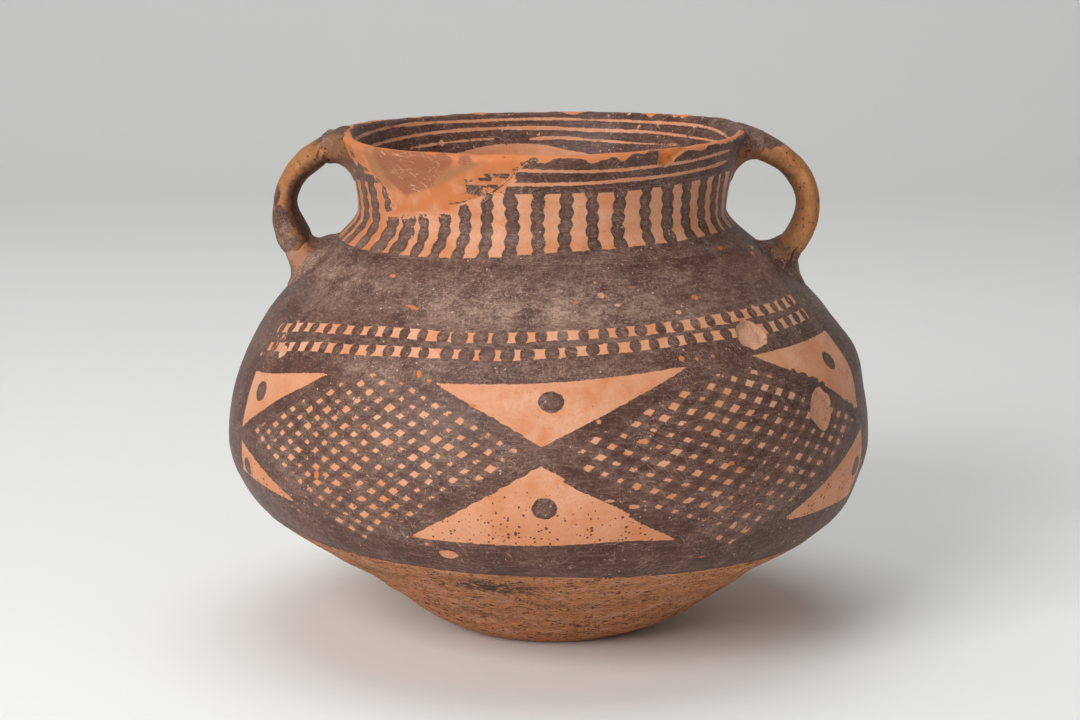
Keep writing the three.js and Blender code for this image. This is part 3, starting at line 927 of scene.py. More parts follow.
def dressNeck(piece):  # paints and wears the neck or its filling
    points = readPoints(piece)
    angle, z, radius = polar(points)
    perDegree = np.pi / 180 * wallRadius(z)
    lipMiddle = wallPoints([jar["lipHeight"]], jar["lipThickness"] / 2)[0]
    crown = np.hypot(radius - lipMiddle[0], z - lipMiddle[1] - jar["lipThickness"] / 2)
    depth = (wallRadius(z) - radius) * wallOut(np.minimum(z, jar["lipHeight"]))[0]
    outside = (depth < wallThickness(z) / 2) & ~((z > lipMiddle[1]) & (radius < lipMiddle[0]))
    angle, z, radius = paintedPlace(points)
    outerBare, outerBrush = outerNeckPattern(points, angle, z)
    innerBare = innerNeckPattern(points, angle, z)
    bare = np.where(outside, outerBare, innerBare)
    brush = np.where(outside, outerBrush, notHere)
    rubbed = brushLine(angle, neck["lipWear"]) * (1 + 0.5 * lumps(points, 9, 131))
    rubbed = rubbed + 1.1 * lumps(points, 4, 132)
    for chipAngle, wide, deep in neck["lipChips"]:
        rubbed = rubbed + deep * np.exp(-((turned(angle - chipAngle) * perDegree / wide) ** 2))
    lip = rubbed - crown
    ragged = 0.8 * lumps(points, 3, 133) + 0.4 * lumps(points, 1.4, 138)
    smear = onNeck(angle, z, fill["smear"]) + ragged
    island = np.full(len(z), farOut)
    for corners in fill["paintIslands"]:
        island = np.maximum(island, onNeck(angle, z, corners) + 0.4 * ragged)
    crackLine = alongNeck(angle, z, fill["crack"]) + 0.25 * lumps(points, 2.2, 135)
    crack = np.where(outside, fill["crackHalf"] - crackLine, notHere)
    wedge = np.where(outside, onNeck(angle, z, fill["wedge"]), notHere)
    wavyAngle = angle + 3.5 * lumps(points, 14, 139) + 1.2 * lumps(points, 4, 140)
    fadeIn, fadeOut = fill["insideEdges"]
    insideFill = rampUp(*fadeIn, wavyAngle) * rampUp(*fadeOut, wavyAngle)
    smear = np.where(outside, smear, insideFill * 4 - 3 + ragged)
    island = np.where(outside, island, farOut)
    restored = np.where(outside, np.minimum(smear, -island), smear)
    bare = np.maximum(np.maximum(bare, lip), np.maximum(smear, wedge))
    brush = np.where(smear > 0, np.maximum(notHere, island), brush)
    brush = np.minimum(brush, -np.maximum(restored, lip))
    chip = onNeck(angle, z, neck["rimChip"]) + 0.5 * lumps(points, 2.5, 134)
    chip = np.where(outside, chip, notHere)
    raw, lossDepth, fresh = lossMarks(points, angle, z, perDegree, wallSlant(z))
    fresh = np.maximum(fresh, np.maximum(rampUp(-0.5, 0.6, lip), rampUp(0, 1, chip)))
    plaster = onNeck(angle, z, fill["scratchedPlaster"]) + 0.9 * lumps(points, 5, 136)
    tan = np.maximum(*[onNeck(angle, z, corners) for corners in fill["tanPlaster"]])
    tan = tan + 0.7 * lumps(points, 4, 137)
    bright = onNeck(angle, z, fill["brightEdge"]) + 0.4 * ragged
    fresh = np.maximum(fresh, np.where(outside, rampUp(-0.3, 0.8, bright), 0))
    lumpAngle, lumpHeight, lumpWide, lumpTall = fill["pinkLump"]
    pink = roundSpot((angle - lumpAngle) * perDegree, z - lumpHeight, lumpWide, lumpTall)
    plaster = np.maximum(plaster, pink)
    flaked = 0.6 * rampUp(4, 1, np.abs(smear)) * rampUp(-7, -9, angle)
    first, last = fill["flakedBy"]
    besideIt = rampUp(last + 1.5, last - 3, angle) * rampUp(first - 2, first + 1, angle)
    besideIt = besideIt * rampUp(202.8, 203.8, z)
    flaked = np.maximum(flaked, 0.62 * besideIt)
    flaked = np.maximum(flaked, 0.3 * rampUp(-1.5, 0, island))
    fresh = np.maximum(fresh, 0.8 * np.where(outside, besideIt, 0))
    fresh = np.maximum(fresh, rampUp(-0.3, 0.3, wedge))
    fadeIn, fadeOut = fill["brownEdges"]
    browned = fill["browning"] * rampUp(*fadeIn, angle) * rampUp(*fadeOut, angle)
    toned = np.maximum(rampUp(-0.5, 1.5, smear), browned)
    # pale film, partly painted light: the foot of the neck and all but its right side are made paler
    film = 0.15 * rampUp(72, 50, angle) + 0.5 * rampUp(172, 166, z) * rampUp(90, 60, angle)
    writeMarks(
        piece,
        bare=bare,
        brush=brush,
        raw=np.maximum(np.where(outside, raw, notHere), chip),
        fresh=fresh,
        crack=crack,
        film=np.where(outside, film, 0.12),
        # painted shade: the neck is darkened beside the right handle
        soot=np.where(outside, 0.6 * rampUp(64, 74, angle) * rampUp(110, 90, angle), 0),
        coarse=np.where(outside, 0.1, 0.35 * rampUp(190, 180, z)),
        pitted=np.where(outside, 0.25, 0.3),
        flaked=np.where(outside, flaked, 0.2),
        toned=np.where(outside, toned, 0.6 * rampUp(-1, 1, smear)),
        plaster=np.where(outside, rampUp(-0.8, 1.2, plaster), 0),
        tan=np.where(outside, rampUp(-1.2, 1.2, tan), 0),
    )
    relief = handRelief(points, 0.8)
    chipFloor = neck["chipDepth"] * rampUp(0, 0.9, chip) * (1 + 0.5 * lumps(points, 1.8, 143))
    relief -= np.where(outside, chipFloor, 0)
    relief -= np.where(outside, lossDepth, 0)
    relief -= fill["crackDepth"] * rampUp(-0.25, 0.2, crack)
    hollow = fill["plasterDepth"] * rampUp(-0.5, 2.5, plaster) * rampUp(-20, -34, angle)
    relief -= np.where(outside, hollow, 0)
    points = pushOut(points, relief)
    worn = rampUp(5, 0, crown)
    points[:, 2] += worn * (0.3 * lumps(points, 15, 141) + 0.22 * lumps(points, 5, 142) - 0.15)
    points[:, 2] -= worn * 1.0 * rampUp(0, 1.2, chip)
    writePoints(piece, handForm(points))
    smoothShade(piece)


def fillOutline():  # sideways from its middle, down from the rim, with rounded lower corners
    rim = jar["rimHeight"]
    corners = np.array([
        (-fill["leftEdge"], rim + 3),
        (-fill["leftEdge"], rim - fill["leftDrop"]),
        (-fill["footLeft"], rim - fill["depth"]),
        (fill["footRight"], rim - fill["depth"]),
        (fill["rightEdge"], rim + 3),
    ])
    stops = [corners[0]]
    for before, corner, after in zip(corners, corners[1:], corners[2:]):
        start = corner + (before - corner) * fill["corner"] / np.linalg.norm(before - corner)
        end = corner + (after - corner) * fill["corner"] / np.linalg.norm(after - corner)
        for t in np.linspace(0, 1, 5):
            stops.append((1 - t) ** 2 * start + 2 * t * (1 - t) * corner + t**2 * end)
    return stops + [corners[-1]]


def makeFillCutter():
    clearSelection()
    stops = fillOutline()
    near, far = jar["waistRadius"] / 2, jar["rimRadius"] + 20
    bpy.ops.mesh.primitive_circle_add(vertices=len(stops), radius=10 * mm, fill_type="NGON")
    cutter = bpy.context.object
    cutter.name = "fillCutter"
    writePoints(cutter, np.array([(x, -near, z) for x, z in stops]))
    bpy.ops.object.mode_set(mode="EDIT")
    bpy.ops.mesh.select_all(action="SELECT")
    outwards = (0, -(far - near) * mm, 0)
    bpy.ops.mesh.extrude_region_move(TRANSFORM_OT_translate={"value": outwards})
    faceOut()
    cutter.rotation_euler.z = math.radians(fill["middleAngle"])
    placeInMesh(cutter)
    return cutter


def cutWith(piece, cutter, operation):
    pick(piece)
    cut = piece.modifiers.new("cut", "BOOLEAN")
    cut.operation = operation
    cut.object = cutter
    cut.solver = "MANIFOLD"
    bpy.ops.object.modifier_apply(modifier=cut.name)


def makeNeck():
    seam, lip = jar["seamHeight"], jar["lipHeight"]
    outside = wallPoints(evenHeights(seam, lip, neck["outerSpacing"]))
    middle = wallPoints([lip], jar["lipThickness"] / 2)[0]
    start = outside[-1] - middle
    turns = np.linspace(0, math.pi, neck["lipSteps"] + 1)[1:-1]
    side = np.array([-start[1], start[0]])
    crown = [middle + start * math.cos(a) + side * math.sin(a) for a in turns]
    shallow = lip - neck["paintedDepth"]
    heights = np.concatenate([
        evenHeights(lip, shallow, neck["innerSpacing"]),
        evenHeights(shallow, seam - jar["lap"], neck["deepSpacing"])[1:],
    ])
    inside = wallPoints(heights, wallThickness(heights))
    profile = outside.tolist() + [p.tolist() for p in crown] + inside.tolist() + [outside[0].tolist()]
    piece = turnPiece("neckWall", profile)
    filling = copyPiece(piece, "neckFilling")
    cutter = makeFillCutter()
    cutWith(piece, cutter, "DIFFERENCE")
    cutWith(filling, cutter, "INTERSECT")
    bpy.data.objects.remove(cutter)
    dressNeck(piece)
    dressNeck(filling)
    return piece, filling


# The handles: a strap of clay, pulled and bent, then luted on

handle = {
    "width": 22,
    "thickness": 10,
    "reach": 37.5,  # neck's waist to the outside of the handle
    "topRun": 17,
    "backRun": 12,
    "footRun": 9,
    "footLean": math.radians(47),
    "rootSwell": 0.12,
    "footBelowSeam": 11,
    "backBelowRim": 30,
    "fullness": 0.8,
    "sides": 16,
    "steps": 26,
    "lumpSize": 9,
    "lumpDepth": 0.55,
    "fingerSize": 4,
    "fingerDepth": 0.16,
    "leftSwells": ((165, 2.2), (203, 1.3)),  # the left one is thicker at these heights
}

# Paint left on the handles, as ovals: middle, then half sizes, in the place where the handle is.
handlePaint = {
    "left": [
        ((-114.0, -8, 185), (2.6, 9, 7)), ((-111.5, -9, 170), (5.2, 9, 9.5)),
        ((-107.5, -9, 163.5), (3.2, 9, 5)), ((-92.5, -4, 207.6), (5.4, 13, 2.6)),
        ((-91, -8, 199), (1.6, 9, 4.5)), ((-107, -2, 152), (4, 14, 7)), ((-110, 7, 172), (6, 5, 16)),
    ],
    "right": [
        ((88, 0, 210.5), (13, 16, 7.4)), ((98, 2, 205.5), (7, 11, 3.6)), ((99, 0, 150), (7, 14, 9.5)),
        ((112.6, -6, 181), (1.1, 1.6, 1.6)), ((82.6, -10.5, 200.4), (1.2, 3, 1.2)),
    ],
}

# Dark cracks in them, as lines across and up on the side that faces the front
handleCracks = {
    "left": ([(-92.6, 204), (-93.8, 199.8), (-91.8, 197), (-90.4, 195.2)],),
    "right": ([(106.5, 163.5), (103.6, 160), (102.6, 156.5), (99.8, 153)], [(83.4, 200.6), (84.6, 201.2)]),
}

handleStainAndShade = {
    "left": {
        "eyeSideShadeAndStain": 0.95,  # how much painted shade and brown stain each has on the side that faces its eye and the wall
        "allOver": 0.25,
        "dust": 0.8,  # on its collars
        "lowDust": 0.5,  # more of it at the shoulder
        "lowTone": 0.6,  # the restorer's colour there
        "paintTo": 100,  # how far out the shoulder's paint covers the collar
    },
    "right": {"eyeSideShadeAndStain": 0.5, "allOver": 0, "dust": 0.6, "lowDust": 0, "lowTone": 0, "paintTo": 101},
}


def handleLine():  # the strap's middle line in the plane of the right handle: across and up
    h = handle
    topHeight = jar["rimHeight"] - h["thickness"] / 2 - jar["lipThickness"] / 4
    footHeight = jar["seamHeight"] - h["footBelowSeam"]
    root = np.array([wallRadius(topHeight) - jar["wallThickness"] / 2, topHeight])
    backAway = jar["waistRadius"] + h["reach"] - h["thickness"] / 2
    back = np.array([backAway, jar["rimHeight"] - h["backBelowRim"]])
    inwards = -np.array([math.cos(h["footLean"]), math.sin(h["footLean"])])
    foot = np.array([wallRadius(footHeight), footHeight]) + inwards * jar["wallThickness"] / 2
    top = bezier(root, root + (h["topRun"], 0), back + (0, h["backRun"]), back)
    low = bezier(back, back - (0, h["backRun"]), foot - inwards * h["footRun"], foot)
    return np.vstack([top, low[1:]])


strapLine = handleLine()
strapTangent = np.gradient(strapLine, axis=0)
strapTangent /= np.linalg.norm(strapTangent, axis=1)[:, None]
strapArc = np.concatenate([[0], np.cumsum(np.linalg.norm(np.diff(strapLine, axis=0), axis=1))])


def strapAt(arc):  # the middle line's point and direction at a distance from the root
    here = [float(np.interp(arc, strapArc, strapLine[:, i])) for i in (0, 1)]
    along = np.array([float(np.interp(arc, strapArc, strapTangent[:, i])) for i in (0, 1)])
    return np.array(here), along / np.linalg.norm(along)


def strapSwell(arc):
    return 1 + handle["rootSwell"] * abs(2 * arc / strapArc[-1] - 1) ** 3


def fuller(value):
    return np.sign(value) * np.abs(value) ** handle["fullness"]


def strapRing(arc, turn, grow=0.0, widen=0.0, thicken=0.0, shift=0.0):  # points round the strap
    here, along = strapAt(arc)
    swell = strapSwell(arc)
    inwards = np.array([along[1], -along[0]])
    across = shift + (handle["thickness"] / 2 * swell + grow + thicken) * fuller(np.cos(turn))
    side = (handle["width"] / 2 * swell + grow + widen) * fuller(np.sin(turn))
    middle = here + across[:, None] * inwards
    return np.stack([middle[:, 0], side, middle[:, 1]], axis=1)


def makeStrap():  # a circle, shaped to the strap's section and drawn along the line
    clearSelection()
    sides = handle["sides"]
    bpy.ops.mesh.primitive_circle_add(vertices=sides, radius=handle["width"] / 2 * mm)
    strap = bpy.context.object
    strap.name = strap.data.name = "rightStrap"
    turn = np.linspace(0, 2 * math.pi, sides, endpoint=False)
    writePoints(strap, strapRing(0, turn))
    bpy.ops.object.mode_set(mode="EDIT")
    bpy.ops.mesh.select_all(action="SELECT")
    arcs = np.linspace(0, strapArc[-1], handle["steps"] + 1)
    for before, after in zip(arcs, arcs[1:]):
        (here, along), (there, onward) = strapAt(before), strapAt(after)
        step = (there - here) * mm
        bend = math.atan2(onward[1], onward[0]) - math.atan2(along[1], along[0])
        bend = (bend + math.pi) % (2 * math.pi) - math.pi
        middle = (there[0] * mm, 0, there[1] * mm)
        bpy.ops.mesh.extrude_edges_move(TRANSFORM_OT_translate={"value": (step[0], 0, step[1])})
        bpy.ops.transform.rotate(value=bend, orient_axis="Y", center_override=middle)
        growth = strapSwell(after) / strapSwell(before)
        bpy.ops.transform.resize(value=(growth, growth, growth), center_override=middle)
    bpy.ops.mesh.select_all(action="SELECT")
    bpy.ops.mesh.region_to_loop()
    bpy.ops.mesh.edge_face_add()
    faceOut()
    return strap


def finishSubdivided(piece, levels):
    pick(piece)
    finer = piece.modifiers.new("finer", "SUBSURF")
    finer.levels = finer.render_levels = levels
    bpy.ops.object.modifier_apply(modifier=finer.name)


def copyToLeft(piece, name):  # half a turn round the jar
    other = copyPiece(piece, name)
    other.rotation_euler.z = math.pi
    placeInMesh(other)
    return other


def paintLeft(points, spots):  # distance into the nearest patch of paint
    nearest = np.full(len(points), farOut)
    for middle, half in spots:
        half = np.array(half, float)
        away = np.linalg.norm((points - middle) / half, axis=1)
        nearest = np.maximum(nearest, (1 - away) * half.min())
    return nearest


def surfaceOut(piece):
    normals = np.empty(len(piece.data.vertices) * 3, np.float32)
    piece.data.vertices.foreach_get("normal", normals)
    return normals.reshape(-1, 3).astype(float)


def dressHandlePart(piece, side, isCollar=False):  # paints and wears a strap or a collar
    points = readPoints(piece)
    dark = paintLeft(points, handlePaint[side])
    dark = dark + 0.9 * lumps(points, 4, 151) + 0.5 * lumps(points, 1.8, 152)
    across, z = np.abs(points[:, 0]), points[:, 2]
    stainAndShade = handleStainAndShade[side]
    dusty = 0.2
    toned = 0
    if isCollar:
        lowDown = rampUp(176, 168, z)
        dusty = stainAndShade["dust"] + stainAndShade["lowDust"] * lowDown
        toned = stainAndShade["lowTone"] * rampUp(95, 101, across) * lowDown
        shoulder = (stainAndShade["paintTo"] - across) * 0.3 + (157 - z) * 0.3
        shoulder = np.maximum(np.minimum((150 - z) * 0.6, 6), shoulder)
        dark = np.maximum(dark, np.where(z < 175, shoulder, notHere) + 1.2 * lumps(points, 5, 153))
    if side == "right":
        onTop = np.minimum((z - 202.5) * 0.5, 102 - across) + 1.2 * lumps(points, 6, 154)
        dark = np.maximum(dark, onTop + 0.9 * lumps(points, 2.6, 159))
    crack = np.full(len(z), float(notHere))
    for stops in handleCracks[side]:
        near = 0.3 - fromLine(points[:, 0], z, stops) - 0.4 * lumps(points, 2.2, 156)
        crack = np.maximum(crack, np.where(points[:, 1] < 0, near, notHere))
    # painted shade: the side of each strap and collar that faces its eye and the wall is darkened, together
    # with brown stain
    outwards = surfaceOut(piece)[:, 0] * np.sign(points[:, 0]) + 0.35 * lumps(points, 7, 157)
    soot = stainAndShade["eyeSideShadeAndStain"] * rampUp(0.35, -0.6, outwards) + stainAndShade["allOver"]
    soot += 0.4 * rampUp(0.1, 0.8, lumps(points, 6, 158))
    writeMarks(
        piece,
        bare=-dark,
        crack=crack,
        soot=soot,
        film=dusty + 0.5 * rampUp(0, 0.8, lumps(points, 12, 155)),
        coarse=0.25,
        pitted=0.8,
        flaked=0.3,
        toned=toned,
    )
    relief = handle["lumpDepth"] * lumps(points, handle["lumpSize"], 161)
    relief += handle["fingerDepth"] * lumps(points, handle["fingerSize"], 162)
    if side == "right":
        relief -= 0.8 * rampUp(0, 0.8, paintLeft(points, handlePaint["right"][3:]))
    else:
        for height, distance in handle["leftSwells"]:
            relief += distance * rampUp(16, 0, np.abs(z - height)) * rampUp(94, 102, across + 8 * (z > 180))
    relief -= 0.5 * rampUp(-0.3, 0.2, crack)
    points = points + surfaceOut(piece) * relief[:, None]
    writePoints(piece, handForm(points))
    smoothShade(piece, 60)


# The collars: soft clay smeared from the strap's ends onto the wall

collar = {
    "length": 8,
    "turns": 96,
    "ring": 20,
    "hiddenRings": 6,  # of the ring's points, those inside the wall and the strap
    "sunkInWall": 1.8,
    "sunkInCorner": 2.0,
    "sunkInStrap": 1.6,
    "halvings": 36,
    "lumpSize": 6.5,
    "lumpDepth": 0.7,
}

# How far each is smeared over the wall to the sides, towards the handle's eye and away from it, and the
# distance from the axis and the height of a crest along its top
smears = {
    "rightRimCollar": {"node": "right_upper_collar", "side": "right", "sides": 5, "eye": 12, "away": 1,
                       "fatness": 0.3, "crest": (84, 0.4)},
    "leftRimCollar": {"node": "left_upper_collar", "side": "left", "sides": 6, "eye": 10, "away": 1,
                      "fatness": 0.35, "crest": (90, 1.5)},
    "rightShoulderCollar": {"node": "right_lower_collar", "side": "right", "sides": 6, "eye": 9, "away": 13,
                            "fatness": 0.4, "crest": (0, 0)},
    "leftShoulderCollar": {"node": "left_lower_collar", "side": "left", "sides": 7, "eye": 12, "away": 9,
                           "fatness": 0.5, "crest": (0, 0)},
}


def reachWall(points, heading):  # from points along a heading to the jar's outer wall
    near = np.full(len(points), -8.0)
    far = np.full(len(points), 45.0)
    for _ in range(collar["halvings"]):
        middle = (near + far) / 2
        at = points + middle[:, None] * heading
        height = np.minimum(at[:, 2], jar["lipHeight"])
        outsideWall = np.hypot(at[:, 0], at[:, 1]) > wallRadius(height)
        near = np.where(outsideWall, middle, near)
        far = np.where(outsideWall, far, middle)
    return points + near[:, None] * heading


def makeCollar(name, smear):  # made on the right, and turned to the left where it belongs there
    clearSelection()
    atRim = "Rim" in name
    rounds, ring = collar["turns"], collar["ring"]
    bpy.ops.mesh.primitive_torus_add(
        major_segments=rounds, minor_segments=ring, major_radius=14 * mm, minor_radius=4 * mm)
    piece = bpy.context.object
    piece.name = piece.data.name = name
    turn = np.linspace(0, 2 * math.pi, rounds, endpoint=False)
    stretch = jar["wallThickness"] / 2 + collar["length"]
    arc = stretch if atRim else strapArc[-1] - stretch
    eye, away = smear["eye"], smear["away"]
    wavy = np.sin(3 * turn + 1) * 0.9 + np.sin(7 * turn) * 0.6
    _, along = strapAt(arc)
    heading = np.array([along[0], 0, along[1]]) * (-1 if atRim else 1)
    onStrap = strapRing(arc, turn, grow=0.1) + heading * (-wavy[:, None])
    corner = reachWall(strapRing(arc, turn), heading)
    spread = {"widen": smear["sides"], "thicken": (eye + away) / 2, "shift": (eye - away) / 2}
    wavyEdge = np.stack([0 * turn, np.sin(5 * turn) * 0.8, np.cos(4 * turn + 2) * 0.9], axis=1)
    onWall = reachWall(strapRing(arc, turn, **spread) + wavyEdge, heading)
    if atRim:
        onWall[:, 2] = np.minimum(onWall[:, 2], jar["rimHeight"] - 1.6)
        corner[:, 2] = np.minimum(corner[:, 2], jar["rimHeight"] - 0.4)
    swollen = blendTo(corner, (onStrap + onWall) / 2, smear["fatness"])
    t = np.linspace(0, 1, ring - collar["hiddenRings"])[None, :, None]
    skin = (1 - t) ** 2 * onStrap[:, None] + 2 * t * (1 - t) * swollen[:, None] + t**2 * onWall[:, None]
    sunkWall = pushOut(onWall, np.full(rounds, -collar["sunkInWall"]))
    sunkCorner = pushOut(corner, np.full(rounds, -collar["sunkInCorner"]))
    sunkStrap = blendTo(strapRing(arc, turn, grow=-collar["sunkInStrap"]), corner, 0.1)
    hiddenT = np.linspace(0, 1, collar["hiddenRings"])[None, :, None]
    hidden = np.where(
        hiddenT < 0.5,
        blendTo(sunkWall[:, None], sunkCorner[:, None], hiddenT * 2),
        blendTo(sunkCorner[:, None], sunkStrap[:, None], hiddenT * 2 - 1),
    )
    writePoints(piece, np.concatenate([skin, hidden], axis=1).reshape(-1, 3))
    bpy.ops.object.mode_set(mode="EDIT")
    faceOut()
    if smear["side"] == "left":
        piece.rotation_euler.z = math.pi
        placeInMesh(piece)
    return piece


def lumpCollar(piece, smear):  # finger marks in the soft clay, none where it thins out on the strap
    points = readPoints(piece)
    relief = collar["lumpDepth"] * lumps(points, collar["lumpSize"], 171) + 0.25 * lumps(points, 3, 172)
    stretch = jar["wallThickness"] / 2 + collar["length"]
    onArc = stretch if smear["node"].endswith("upper_collar") else strapArc[-1] - stretch
    here, along = strapAt(onArc)
    beyond = (np.abs(points[:, 0]) - here[0]) * along[0] + (points[:, 2] - here[1]) * along[1]
    relief *= rampUp(0, 6, np.abs(beyond))
    points = points + surfaceOut(piece) * relief[:, None]
    across, rise = smear["crest"]
    nearCrest = rampUp(9, 0, np.abs(np.abs(points[:, 0]) - across))
    points[:, 2] += rise * nearCrest * rampUp(199, 207, points[:, 2])
    writePoints(piece, points)


# Surfaces

def fromHex(code):  # an sRGB hex colour as linear red, green, blue and alpha
    parts = [int(code[i:i + 2], 16) / 255 for i in (1, 3, 5)]
    return (*[c / 12.92 if c <= 0.04045 else ((c + 0.055) / 1.055) ** 2.4 for c in parts], 1)


def addNode(tree, kind, inputs, **settings):  # inputs by name or number: a value, a node or a node's output
    node = tree.nodes.new("ShaderNode" + kind)
    for name, value in settings.items():
        setattr(node, name, value)
    for key, value in inputs.items():
        socket = node.inputs[key] if isinstance(key, int) else next(
            s for s in node.inputs if s.enabled and s.name == key)
        if isinstance(value, bpy.types.Node):
            value = next(s for s in value.outputs if s.enabled)
        if isinstance(value, bpy.types.NodeSocket):
            tree.links.new(value, socket)
        else:
            socket.default_value = value
    return node


# Earthenware of fine river clay, fired to a pinkish orange, burnished with a pebble so that it has a soft
# sheen, and painted before firing with iron and manganese slip, which fires to a dull brown-black.
clayLook = {
    "clayMain": "#cf916f",
    "clayPale": "#dca88b",
    "clayWarm": "#c97c4e",
    "coarseClay": "#c98859",
    "coarseDark": "#805338",
    "paintDark": "#452b25",
    "paintWarm": "#624138",
    "film": "#a98b7a",
    "freshClay": "#cb7741",
    "spallClay": "#d39f83",
    "tonedClay": "#c0713e",
    "plasterPink": "#9a5d41",
    "plasterTan": "#9a6f4c",
    "pitDirtAndShade": "#3d2c24",
    "soot": "#4c3a2f",
    "mineral": "#dcc0a9",
    "clayRoughness": 0.5,
    "paintRoughness": 0.46,
    "rawRoughness": 0.92,
    "paintStand": 0.05,  # the slip's thickness
    "edgeRagged": 1.0,
    "fineRagged": 0.5,
    "dragWay": (0.3, 0.3, 1),  # marks of the tool are longer where this is smaller
    "sootEven": 0.1,
}


def makeClay(name, look):
    material = bpy.data.materials.new(name)
    material.use_nodes = True
    tree = material.node_tree
    tree.nodes.clear()
    add = partial(addNode, tree)
    tints = {key: fromHex(code) for key, code in look.items() if isinstance(code, str)}
    smooth = {"interpolation_type": "SMOOTHSTEP"}
    marks = {mark: add("Attribute", {}, attribute_name=mark).outputs["Fac"] for mark in plainMarks}
    objectPlace = add("TexCoord", {}).outputs["Object"]
    place = add("VectorMath", {0: objectPlace, "Scale": 1 / mm}, operation="SCALE")  # in millimetres
    level = add("VectorMath", {0: place, 1: (0.12, 0.12, 1)}, operation="MULTIPLY")
    trail = add("VectorMath", {0: place, 1: look["dragWay"]}, operation="MULTIPLY")
    cloud = add("TexNoise", {"Vector": place, "Scale": 1 / 13, "Detail": 5, "Roughness": 0.65})
    fine = add("TexNoise", {"Vector": place, "Scale": 1, "Detail": 3, "Roughness": 0.7})
    streak = add("TexNoise", {"Vector": level, "Scale": 1 / 1.6, "Detail": 4, "Roughness": 0.6})

    # where the paint is, with the edge that a brush leaves
    fray = add("TexNoise", {"Vector": place, "Scale": 1 / 0.7, "Detail": 2})
    fray = add("Math", {0: fray, 1: 0.5}, operation="SUBTRACT")
    fray = add("Math", {0: fray, 1: look["fineRagged"]}, operation="MULTIPLY")
    wander = add("TexNoise", {"Vector": place, "Scale": 1 / 2.4, "Detail": 3, "Roughness": 0.55})
    wander = add("Math", {0: wander, 1: 0.5}, operation="SUBTRACT")
    wander = add("Math", {0: wander, 1: look["edgeRagged"], 2: fray}, operation="MULTIPLY_ADD")
    gaps = add("Math", {0: marks["gapsA"], 1: marks["gapsB"]}, operation="MINIMUM")
    bareness = add("Math", {0: marks["bare"], 1: gaps}, operation="MAXIMUM")
    unbrushed = add("Math", {0: marks["brush"], 1: -1}, operation="MULTIPLY")
    bareness = add("Math", {0: bareness, 1: unbrushed}, operation="MINIMUM")
    bareness = add("Math", {0: bareness, 1: wander}, operation="ADD")
    painted = add("MapRange", {0: bareness, 1: 0.16, 2: -0.16}, **smooth)

    # where it has flaked, been nicked or broken off
    flakes = add("TexNoise", {"Vector": place, "Scale": 1 / 3.4, "Detail": 6, "Roughness": 0.7})
    flakes = add("Math", {0: marks["flaked"], 1: 0.34, 2: flakes}, operation="MULTIPLY_ADD")
    flakes = add("MapRange", {0: flakes, 1: 0.70, 2: 0.73}, **smooth)
    nicks = add("TexVoronoi", {"Vector": place, "Scale": 1 / 9})
    nickLuck = add("SeparateColor", {0: nicks.outputs["Color"]})
    nickSize = add("MapRange", {0: nickLuck, 1: 0.8, 2: 1, 4: 0.11}, **smooth)
    nickShape = add("TexNoise", {"Vector": place, "Scale": 1 / 1.1, "Detail": 2})
    nickReach = add("Math", {0: nickShape, 1: 0.12, 2: nicks.outputs["Distance"]}, operation="MULTIPLY_ADD")
    nickReach = add("Math", {0: nickReach, 1: nickSize}, operation="SUBTRACT")
    nicked = add("MapRange", {0: nickReach, 1: 0.075, 2: 0.055}, **smooth)
    raw = add("Math", {0: fray, 1: 0.6, 2: marks["raw"]}, operation="MULTIPLY_ADD")
    raw = add("MapRange", {0: raw, 1: -0.1, 2: 0.2}, **smooth)
    lost = add("Math", {0: flakes, 1: nicked}, operation="MAXIMUM")
    lost = add("Math", {0: lost, 1: raw}, operation="MAXIMUM")
    kept = add("Math", {0: 1, 1: lost}, operation="SUBTRACT")
    painted = add("Math", {0: painted, 1: kept}, operation="MULTIPLY")

    # bare burnished clay: pale and warm patches, the pebble's level marks, and fine specks
    pale = add("TexNoise", {"Vector": place, "Scale": 1 / 26, "Detail": 3})
    pale = add("MapRange", {0: pale, 1: 0.35, 2: 0.7}, **smooth)
    clay = add("Mix", {"Factor": pale, "A": tints["clayMain"], "B": tints["clayPale"]}, data_type="RGBA")
    warm = add("TexNoise", {"Vector": place, "Scale": 1 / 9, "Detail": 4, "Roughness": 0.6})
    warm = add("MapRange", {0: warm, 1: 0.45, 2: 0.75, 4: 0.9}, **smooth)
    clay = add("Mix", {"Factor": warm, "A": clay, "B": tints["clayWarm"]}, data_type="RGBA")
    rubbed = add("MapRange", {0: streak, 1: 0.45, 2: 0.8, 4: 0.45}, **smooth)
    clay = add("Mix", {"Factor": rubbed, "A": clay, "B": tints["clayPale"]}, data_type="RGBA")
    specks = add("TexNoise", {"Vector": place, "Scale": 1 / 1.3, "Detail": 5, "Roughness": 0.75})
    specks = add("MapRange", {0: specks, 1: 0.46, 2: 0.66, 4: 0.62}, **smooth)
    clay = add("Mix", {"Factor": specks, "A": clay, "B": tints["coarseClay"]}, data_type="RGBA")
    # the clay is made warmer and darker where the pitted mark is high, which on the walls is towards the
    # bottom
    deeper = add("Math", {0: marks["pitted"], 1: 0.4}, operation="MULTIPLY")
    clay = add("Mix", {"Factor": deeper, "A": clay, "B": tints["clayWarm"]}, data_type="RGBA")

